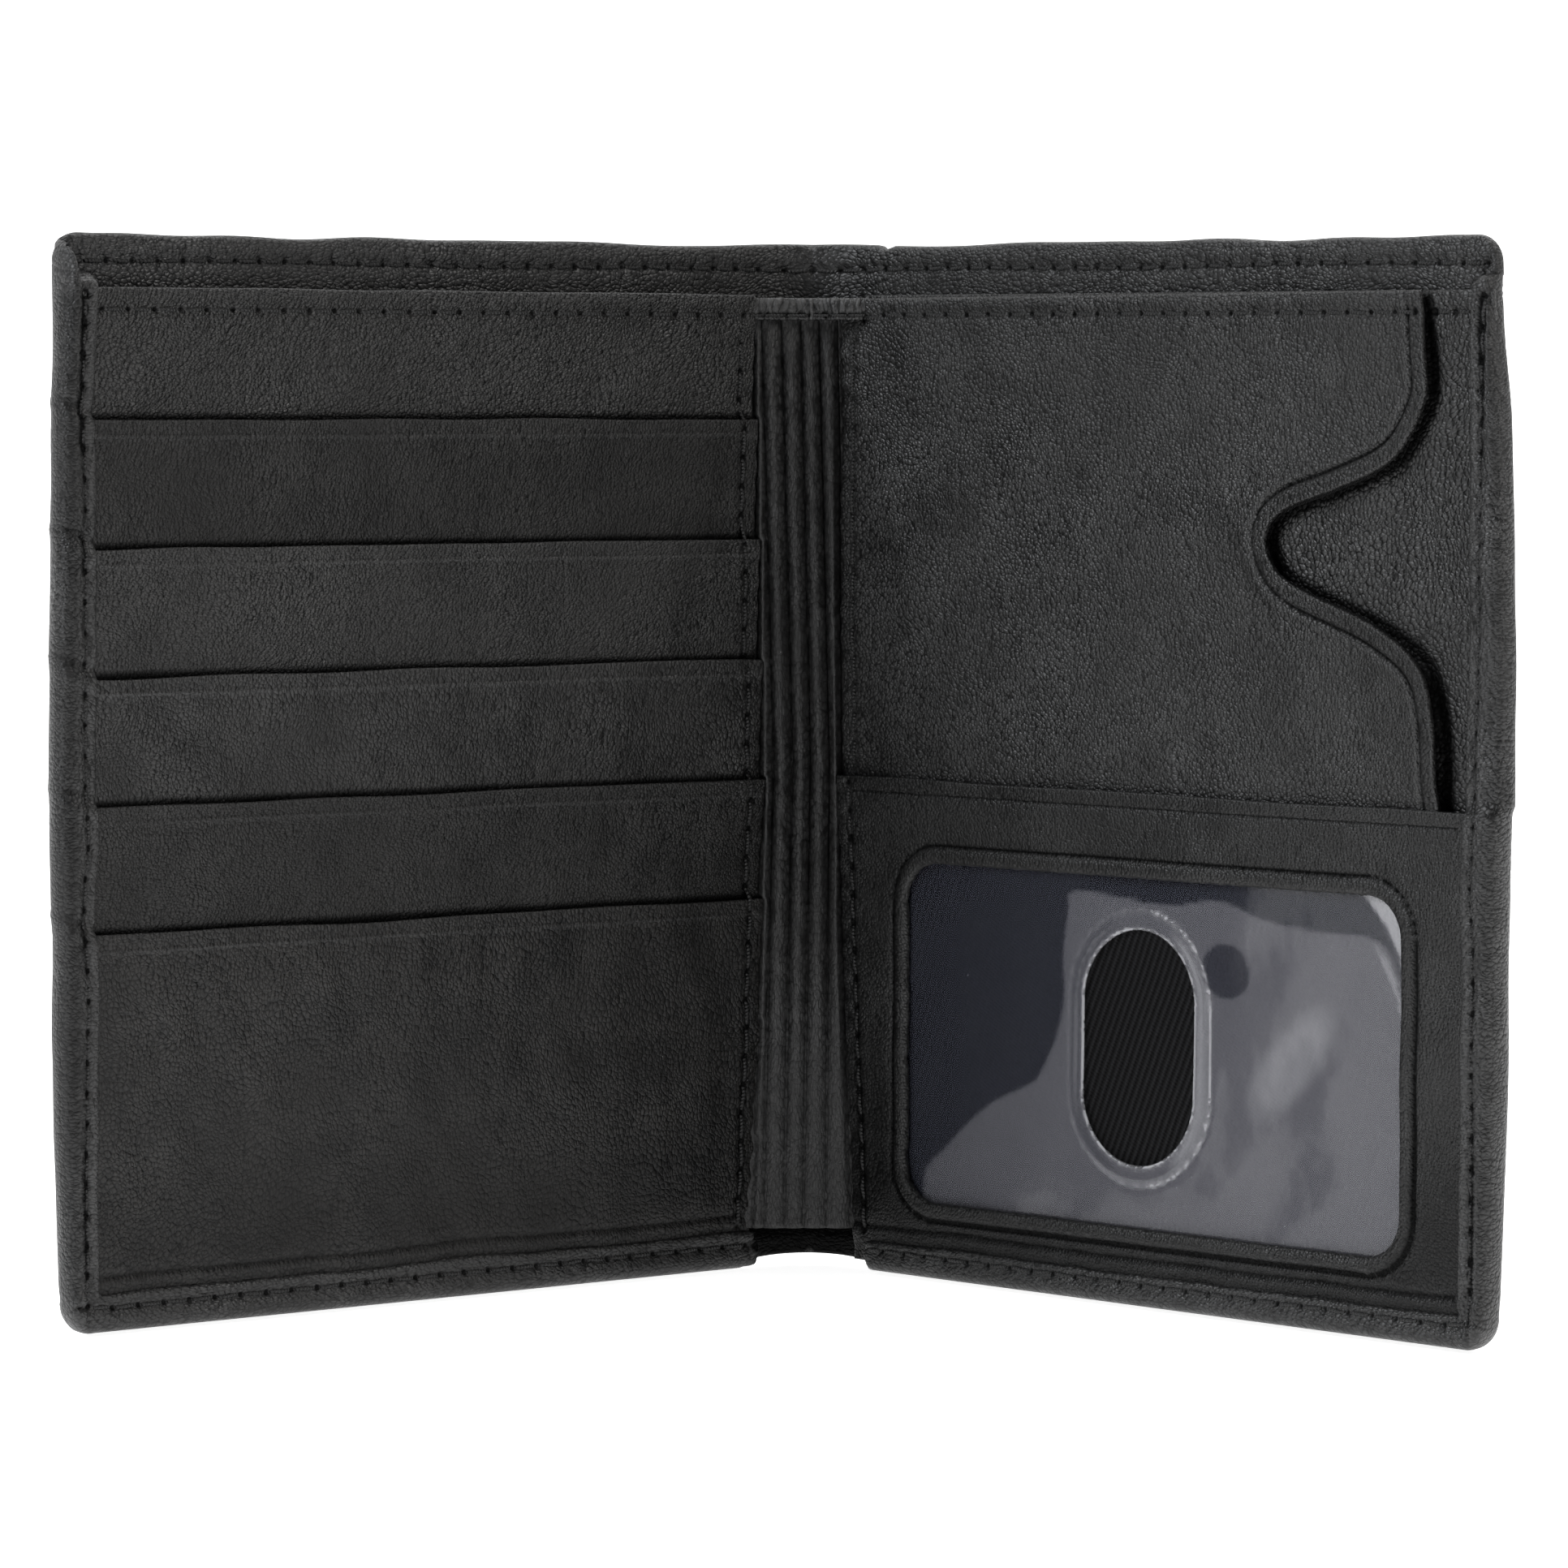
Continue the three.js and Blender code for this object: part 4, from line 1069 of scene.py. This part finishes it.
def film_painted_reflection(u, z):
    """Painted reflection on the film: 0 none, 1 a grey painted reflection, above 1 a bright painted highlight."""
    def within(loop, gap):
        return np.where(inside(pairs(u, z), np.array(loop)), gap, -gap)

    # edge of the grey painted reflection over the window's lower part
    rim = spline([(12.4, 9.5), (13.0, 12.9), (15.9, 15.5), (19.3, 18.5), (23.8, 21.6), (29.3, 24.0), (31.3, 25.7),
                  (33.4, 29.9), (34.5, 34.3), (34.3, 39.1), (35.0, 44.4), (35.7, 46.6), (42.8, 46.4), (47.0, 45.9),
                  (51.2, 45.9), (55.4, 46.6), (59.4, 46.6), (64.3, 45.1), (70.3, 44.4), (75.6, 44.2), (79.4, 44.0),
                  (81.7, 43.0), (83.1, 41.0), (84.0, 38.4), (84.6, 33.0)], 0.6)
    # a bright crescent and a fainter streak of painted highlight at the upper right
    crescent = [(78.3, 48.9), (83.4, 49.2), (86.0, 46.9), (86.0, 33.8), (84.9, 37.9), (83.6, 42.1), (81.6, 45.5)]
    fold = [(80.2, 43.4), (82.4, 41.2), (84.2, 36.7), (86, 31.0), (83.9, 36.0), (82.0, 40.0)]
    painted_reflection = smooth(within([*rim, (90, 30), (90, 0), (8, 0)], gap_to(rim, u, z)) / 0.35 + 0.5)
    # a dark spot and a lighter leaf-shaped patch in the painted reflection
    spot = (np.hypot((u - 58.8) / 3.5, (z - 39.0) / 3.1) - 1) * 3
    painted_reflection = painted_reflection * (1 - 0.9 * smooth(0.5 - spot / 0.35))
    du, dz = u - 68.2, z - 29.2
    leaf = (np.hypot((du * 0.75 - dz * 0.66) / 3.0, (du * 0.66 + dz * 0.75) / 7.4) - 1) * 3
    painted_reflection = painted_reflection + 0.55 * smooth(0.5 - leaf / 2.2)
    for loop, light in ((crescent, 2.4), (fold, 0.7)):
        painted_reflection = painted_reflection + light * smooth(within(loop, gap_to(np.array(loop), u, z, True)) / 0.4 + 0.5)
    gap = gap_to(THUMB_LOOP, u, z, True)
    # painted highlights along the thumb cut's rim, and painted shade on the reflection round its left side
    lines = 2.6 * bell(gap - 0.12, 0.13) + (0.5 + 1.6 * smooth((u - 45) / 4)) * bell(gap - 2.35, 0.11)
    band = 1.0 * bell(gap - 1.1, 0.45) * smooth((u - 50) / 3) + 0.3 * bell(gap - 2.0, 0.12)
    shade = 0.45 * bell(gap - 1.2, 0.6) * smooth((44 - u) / 4)
    return np.clip(painted_reflection * (1 - shade) + lines + band, 0, 4)


# ---------------------------------------------------------------- building the leaves

def sheet_between(side, node, face, thickness, look=LINING_LOOK, outline=None, step=2.0):
    """A thin cloth layer of a leaf in place of its CAD node."""
    (start, _, bottom), (_, _, top) = leaf_box(node)
    if outline is None:
        outline = box(start + 1.5, HEM_LINE + 0.5, bottom, top, step)
    ob = slab(f"cloth_{node}", outline, face, lambda u, z: face(u, z) - thickness, leaf_xyz, look, rim=0.06,
              step=step, side=side)
    on_leaf(ob, side, node)


def cover_layers(side):
    """The cloth on the inside of the cover, from the middle of the spine to the side hem, and the board."""
    def layer(name, node, left, right, bottom, place, look, spacing, step, **options):
        (_, low, _), (_, high, top) = leaf_box(node)
        return slab(name, box(left, right, bottom, top, spacing), lambda u, z: high + relief(side, u, z) - 0.02,
                    lambda u, z: low + relief(side, u, z) + 0.02, place, look, step=step, side=side, **options)

    tag, bottom, end = SUFFIX[side], 4.6, HEM_LINE + 0.3
    node = f"cover_lining_{tag}"
    ob = layer(f"cloth_{node}", node, -HALF_ARC, end, bottom, cover_xyz, LINING_LOOK, 1.5, 1.5, rim=0.06,
               cut=-HALF_ARC)
    bend(ob, side)
    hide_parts(node, "cover_spine_lining")
    node = f"stiffener_{tag}"
    board = layer(f"board_{tag}", node, 8, HEM_LINE - 0.4, 5, leaf_xyz, BOARD_LOOK, 2, 2.5, rim=0.08)
    on_leaf(board, side, node)


for side in (LEFT, RIGHT):
    tag, front = SUFFIX[side], cover_front(side)
    cover_half(side)
    cover_layers(side)
    on_leaf(stitch_row(f"thread_hem_{tag}", HEM_HOLES[side], front, leaf_xyz, side), side, f"hem_thread_{tag}")
    top_thread = stitch_row(f"thread_cover_top_{tag}", TOP_HOLES, front, cover_xyz, side)
    bend(top_thread, side)
    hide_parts(f"cover_top_thread_{tag}", "cover_spine_thread")

for number in range(6):
    card_strip(number)


def card_row_height(u, z):
    number = np.where(z > MOUTHS[0], 0, np.ceil((MOUTHS[0] - z) / PITCH)).astype(int).clip(0, 5)
    return np.choose(number, [card_face(k)(u, z) for k in range(6)])


on_leaf(stitch_row("thread_card_panel", CARD_ROW, card_row_height, leaf_xyz, LEFT), LEFT, "card_panel_thread")

(_, divider_low, _), (_, divider_high, divider_top) = leaf_box("divider_lining_left")


def card_divider(u, z):
    return np.maximum(divider_low + 0.12, divider_high - (divider_top - z) * SLOPE) + relief(LEFT, u, z)


def slot_lining(number):
    node = f"card_slot_lining_{number}"
    _, (_, v, top) = leaf_box(node)
    sheet_between(LEFT, node, lambda u, z: v - (top - z) * SLOPE + relief(LEFT, u, z) - 0.02, 0.12)


sheet_between(LEFT, "divider_lining_left", card_divider, 0.12)
for number in range(1, 6):
    slot_lining(number)

base_outline = panel_outline(RIGHT, PANEL_BOTTOM, PANEL_TOP)
base_outline[:, 0] += 3.0 * (base_outline[:, 0] < 4)
# the base panel's tone is painted shadow along the side pocket's free edge
base = slab("leather_base_panel", base_outline, base_face, lambda u, z: base_face(u, z) - 0.6, leaf_xyz, BASE_LOOK,
            dots=hole_dots(BASE_ROW), lines=[(FREE_EDGE[::2], (-0.9, -0.4, 0.4, 0.9))], step=0.9,
            tone=lambda u, z: -1.5 * smooth(1.3 - gap_to(FREE_EDGE, u, z)))
on_leaf(base, RIGHT, "base_panel")

POCKET_BOTTOM = 52
zs = np.arange(POCKET_BOTTOM, PANEL_TOP, 0.6)
inner = pairs(spine_side(RIGHT, zs), zs)[::-1]
pocket_outline = chain(line((inner[-1, 0], POCKET_BOTTOM), (90.9, POCKET_BOTTOM), 0.8), FREE_EDGE[::-1],
                       line((POCKET_END, PANEL_TOP), inner[0], 0.6), inner[:-1])
dots = hole_dots(POCKET_ROW)
beside_bead = (1.5, 1.9, 2.25, 2.45, 2.65, 2.9)
pocket = slab("leather_side_pocket", pocket_outline, pocket_face, lambda u, z: pocket_face(u, z) - 0.75, leaf_xyz,
              POCKET_LOOK, rim=0.36, lines=[(FREE_EDGE[3:-3], [-x for x in beside_bead[::-1]] + [*beside_bead])],
              dots=dots[dots[:, 1] > POCKET_BOTTOM + 1], step=0.75, tone=pocket_edge_tone_and_painted_light)
on_leaf(pocket, RIGHT, "side_pocket_panel")

ring_offsets = (0.2, 0.45, -2.6, -2.35, -2.15, -1.95, -1.6, -1.1, 1.1, 1.6, 1.95, 2.15, 2.35, 2.6)
rim = WINDOW_LOOP[::-1]
frayed = rim + 0.05 * pairs(waves(*rim.T, 1.6, 3), waves(*rim.T, 1.5, 4))
dots = hole_dots(ID_ROW)
id_frame = slab("leather_id_frame", panel_outline(RIGHT, PANEL_BOTTOM, ID_TOP, 0.08, 57), frame_face,
                lambda u, z: frame_face(u, z) - 0.7, leaf_xyz, FRAME_LOOK, rim=0.26, holes=[frayed],
                lines=[(WINDOW_LOOP, ring_offsets), *panel_lines(RIGHT, ID_TOP - 1.7, True)],
                dots=dots[dots[:, 1] < ID_TOP - 0.5], step=0.75, tone=frame_edge_and_painted_shade)
on_leaf(id_frame, RIGHT, "id_window_frame")

film_outline = rounded(WINDOW[0] - 4, WINDOW[1] + 4, WINDOW[2] - 4, WINDOW[3] + 4, 1.0, 1.0)
film_rings = (-0.1, -0.22, -0.4, -0.7, -1.0, -1.3, -1.6, -1.9, -2.1, -2.22, -2.35, -2.48, -2.65)
film = slab("film_id_window", film_outline, film_face, lambda u, z: film_face(u, z) - 0.2, leaf_xyz, FILM_LOOK,
            rim=0.1, holes=[THUMB_LOOP[::-1]], lines=[(THUMB_LOOP, film_rings)], step=0.5)
rest = np.array([value.vector for value in film.data.attributes["rest"].data])
# the film's painted reflection and highlights, stored as an attribute for its material
set_values(film.data, "painted_reflection", 0.14 + 0.86 * film_painted_reflection(rest[:, 0] - HALF_ARC, rest[:, 2]))
on_leaf(film, RIGHT, "id_window_film")

backing_face = leaf_box("id_pocket_backing")[1][1]
sheet_between(RIGHT, "id_pocket_backing", lambda u, z: backing_face + relief(RIGHT, u, z) + 0.04 * waves(u, z, 12, 99),
              0.28, look=TWILL_LOOK, step=1.2)
sheet_between(RIGHT, "divider_lining_right", lambda u, z: 0.25 + relief(RIGHT, u, z) - 0.02, 0.18)
centre = np.array([45.0, 84.0])
inset = centre + (pocket_outline - centre) * 0.955
sheet_between(RIGHT, "side_pocket_lining", lambda u, z: 1.15 + relief(RIGHT, u, z) + 0.10 * waves(u, z, 16, 91),
              0.12, outline=thinned(inset, 0.5))


for name, row, face in (("side_pocket", POCKET_ROW, pocket_face), ("id_pocket", ID_ROW, frame_face),
                        ("base_panel", BASE_ROW, base_face)):
    on_leaf(stitch_row(f"thread_{name}", row, face, leaf_xyz, RIGHT), RIGHT, f"{name}_thread")


# ---------------------------------------------------------------- spine

# x of the valleys between the pleats, at each of these heights.
VALLEYS_Z = [0, 6, 60, 112, 120]
VALLEYS = np.array([[-7.8, -7.8, -6.4, -8.2, -8.2], [-5.2, -5.2, -4.15, -5.7, -5.7], [-2.7, -2.7, -1.96, -3.45, -3.45],
                    [-0.43, -0.43, 0.14, -1.2, -1.2], [2.24, 2.24, 2.34, 0.93, 0.93], [5.2, 5.2, 4.5, 3.1, 3.1],
                    [8.0, 8.0, 6.8, 5.5, 5.5]])


def gusset_end(side, z):
    """Where the gusset is sewn under the panels."""
    if side < 0:
        return leaf_xyz(LEFT, spine_side(LEFT, z) + 2.2, 1.5 + 0 * z, z)
    return leaf_xyz(RIGHT, spine_side(RIGHT, z) + 1.5, 0.3 + 0.9 * smooth((ID_TOP - z) / 20), z)


def gusset_path(x, z):
    """y of the gusset's middle surface from the fold lines, between the two panel edges."""
    left, right = gusset_end(LEFT, z), gusset_end(RIGHT, z)
    t = (x - left[:, 0]) / (right[:, 0] - left[:, 0])
    return right[:, 1] + (left[:, 1] - right[:, 1]) * (1 - t) ** 2


def gusset_half(side, name, node, shift, thickness, ripple, top, look, columns, rows, reach=0.0, cap=False):
    """Half of a pleated sheet that spans the two leaves, from the middle of the spine to a panel's edge."""
    zs = np.linspace(GUSSET_LOW, top, rows)
    zz = np.repeat(zs, columns)
    ends = gusset_end(side, zs)[:, 0]
    xx = ((ends + side * reach)[:, None] * np.linspace(0, 1, columns)).ravel()
    from_end = side * (np.repeat(ends, columns) - xx)
    under = np.maximum(-from_end, 0)
    y = gusset_path(xx - side * under, zz) - under * math.tan(math.radians(41))
    valleys = [np.interp(zz, VALLEYS_Z, row) for row in VALLEYS]
    phase = np.zeros(len(xx))
    for low, high in zip(valleys, valleys[1:]):
        t = (xx - low) / (high - low)
        phase = np.where((t >= 0) & (t < 1), t, phase)
    crest = np.abs(np.sin(np.pi * phase)) ** 0.6
    ripple = ripple * smooth((from_end - 2.1) / 0.9) * (0.4 + 0.6 * smooth((zz - 6) / 45))
    ripple = ripple * (1 - 0.6 * smooth((zz - 107) / 5))
    front = y - ripple * crest + shift + 0.05 * waves(xx * 3, zz, 5, 113) * ripple
    back = y - 0.8 * ripple * crest + shift + thickness
    front, back, rest = (pairs(xx, depth, zz).reshape(rows, columns, 3) for depth in (front, back, 0 * xx))
    tone = np.tile(1.4 * smooth((54 - zz) / 40), 2)
    ob = grid_slab(name, front, back, rest, look, (cap, True), side < 0, tone)
    bend_across(ob, float(np.abs(ends).mean()))
    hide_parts(node)
    return ob


def bend_across(ob, end):
    """Bakes the transform of a piece that spans the leaves into its mesh; end is not used."""
    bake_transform(ob)


LINING_GRID = 60
GUSSET_LOW, GUSSET_HIGH = (1000 * corner.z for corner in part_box("spine_gusset"))


for side in (LEFT, RIGHT):
    tag = SUFFIX[side]
    gusset_half(side, f"leather_gusset_{tag}", "spine_gusset", 0.2, 0.35, 1.45, PANEL_STITCH + 0.4, GUSSET_LOOK,
                66, 190)
    cloth = gusset_half(side, f"cloth_gusset_lining_{tag}", "gusset_lining", 0.75, 0.15, 1.16, GUSSET_HIGH,
                        LINING_LOOK, LINING_GRID, LINING_GRID, 2.4, True)
    front = np.array([v.co for v in cloth.data.vertices[:LINING_GRID ** 2]])


def binding_path(side, share, z):
    """Across the top of the gusset: from behind the left panel's edge to over the right panel's hem."""
    u, v = (spine_side(LEFT, z) + 1.4, 1.75) if side < 0 else (2.7, POCKET_FACE + 0.05)
    end_x, end_y, _ = leaf_xyz(side, u + 0 * z, v + 0 * z, z).T
    middle = gusset_path(0 * z, z) - 1.5
    wave = 0.35 * np.sin(share * math.pi * 2.5) * (1 - share)
    return end_x * share, middle + (end_y - middle) * share ** 1.15 + wave


BIND_LOW, BIND_HIGH = PANEL_STITCH - 0.55, 1000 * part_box("gusset_binding")[1].z + 0.85


def binding_half(side):
    columns, rows = 44, 25
    share = np.tile(np.linspace(0, 1, columns), rows)
    zs = np.repeat(np.linspace(BIND_LOW, BIND_HIGH, rows), columns)
    x, y = binding_path(side, share, zs)
    down = BIND_HIGH - zs
    around = dome(np.minimum(zs - BIND_LOW, down) / 0.7)
    groove = 0.42 * bell(zs - PANEL_STITCH, 0.42) * (0.7 + 0.3 * np.cos(2 * np.pi * (x + 0.4) / 2.4))
    thick = (0.45 + 0.15 * bell(down - 1.1, 0.9)) * (1 - 0.75 * smooth((share - 0.7) / 0.3) * (side > 0))
    thick = thick + 0.09 * np.sin(x * 5.3 + 1.2 * np.sin(zs) + 2 * np.sin(x * 1.3)) * bell(down - 1.6, 1.4)
    front, back = y - thick * around + groove, y + 0.35 * around
    front, back, rest = (pairs(*point).reshape(rows, columns, 3)
                         for point in ((x, front, zs), (x, back, zs), (x, 0 * x, zs + 30)))
    ob = grid_slab(f"leather_gusset_binding_{SUFFIX[side]}", front, back, rest, BINDING_LOOK,
                   caps=(False, True), flip=side < 0)
    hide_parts("gusset_binding")
    thread = binding_thread(side, thick.max())
    for piece in (ob, thread):
        bend_across(piece, float(np.abs(x).max()))


def binding_thread(side, thick):
    stitches, holes = [], np.linspace(0.03, 0.99, 4)
    ts = np.linspace(0, 1, 9)
    ends = np.minimum(ts, 1 - ts)
    size = (0.17 * (0.7 + 0.3 * dome(ends / 0.2)))[:, None]
    for a, b in zip(holes, holes[1:]):
        x, y = binding_path(side, np.linspace(a, b, 9), np.full(9, PANEL_STITCH))
        y = y - thick + 0.28 + 0.4 - 0.45 * dome(ends / 0.22)
        ring = (y[:, None] - size * np.sin(ROUND)).ravel(), (PANEL_STITCH + size * np.cos(ROUND)).ravel()
        stitches.append((pairs(np.repeat(x, 8), *ring), pairs(np.repeat(ts * 3, 8), np.tile(ROUND, 9), np.full(72, 5.0))))
    ob = tubes(f"thread_gusset_binding_{SUFFIX[side]}", stitches, -side)
    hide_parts("gusset_binding_thread")
    return ob


for side in (LEFT, RIGHT):
    binding_half(side)


# ---------------------------------------------------------------- floor, light, camera

def soft_light(name, location, target, size, power, colour=(1, 1, 1)):
    data = bpy.data.lights.new(name, "AREA")
    data.shape = "RECTANGLE"
    data.size, data.size_y = size
    data.energy, data.color = power, colour
    ob = bpy.data.objects.new(name, data)
    bpy.context.scene.collection.objects.link(ob)
    ob.location = location
    ob.rotation_mode = "QUATERNION"
    ob.rotation_quaternion = (Vector(target) - Vector(location)).to_track_quat("-Z", "Y")


def floor():
    """White paper that runs up behind the wallet. Behind it the paper glows, as an overexposed sweep does."""
    turn = np.linspace(0, math.pi / 2, 13)
    flat = [(y, 0.0) for y in (-2.5, -0.28, -0.19, 0.0, 0.2, 0.45)]
    profile = [*flat, *zip(1.2 + 0.6 * np.sin(turn), 0.6 - 0.6 * np.cos(turn)), (1.8, 3.5)]
    glow = np.interp([y for y, _ in profile], [-0.28, -0.19, 0.2, 0.45], [0.0, 0.88, 0.88, 1.08])
    mesh = bpy.data.meshes.new("floor")
    mesh.from_pydata([(x, y, z) for y, z in profile for x in (-3.0, 3.0)], [],
                     [(i, i + 1, i + 3, i + 2) for i in range(0, 2 * len(profile) - 2, 2)])
    mesh.polygons.foreach_set("use_smooth", np.ones(len(mesh.polygons), bool))
    set_values(mesh, "glow", np.repeat(glow, 2))
    ob = bpy.data.objects.new("floor", mesh)
    bpy.context.scene.collection.objects.link(ob)
    g = Graph("floor_paper")
    white = (0.85, 0.85, 0.85, 1)
    mesh.materials.append(g.surface({"Base Color": white, "Roughness": 0.9, "Specular IOR Level": 0.1,
                                     "Emission Color": (1, 1, 1, 1), "Emission Strength": g.attribute("glow")}))
    ob.location.z = -0.0003


floor()
world = bpy.data.worlds.new("studio")
bpy.context.scene.world = world
world.use_nodes = True
world.node_tree.nodes["Background"].inputs[0].default_value = (1, 1, 1, 1)
world.node_tree.nodes["Background"].inputs[1].default_value = 0.06
soft_light("key", (-0.80, -0.40, 0.75), (0, 0, 0.10), (0.45, 0.5), 9.0, (0.95, 0.97, 1.0))
soft_light("fill", (0.80, -0.40, 0.80), (0, 0, 0.10), (0.45, 0.5), 6.0, (1.0, 0.98, 0.96))
soft_light("top", (0, 0.35, 1.0), (0, 0.05, 0.0), (1.0, 0.6), 6.0)

camera = bpy.data.objects.new("camera", bpy.data.cameras.new("camera"))
bpy.context.scene.collection.objects.link(camera)
camera.data.sensor_width = 36
camera.data.lens = 149.64
camera.data.clip_start, camera.data.clip_end = 0.05, 20
camera.location = (0.04375, -0.73655, 0.10494)
camera.rotation_euler = (math.radians(86.445), math.radians(-0.157), math.radians(3.498))
bpy.context.scene.camera = camera
bpy.context.scene.view_settings.view_transform = "Standard"
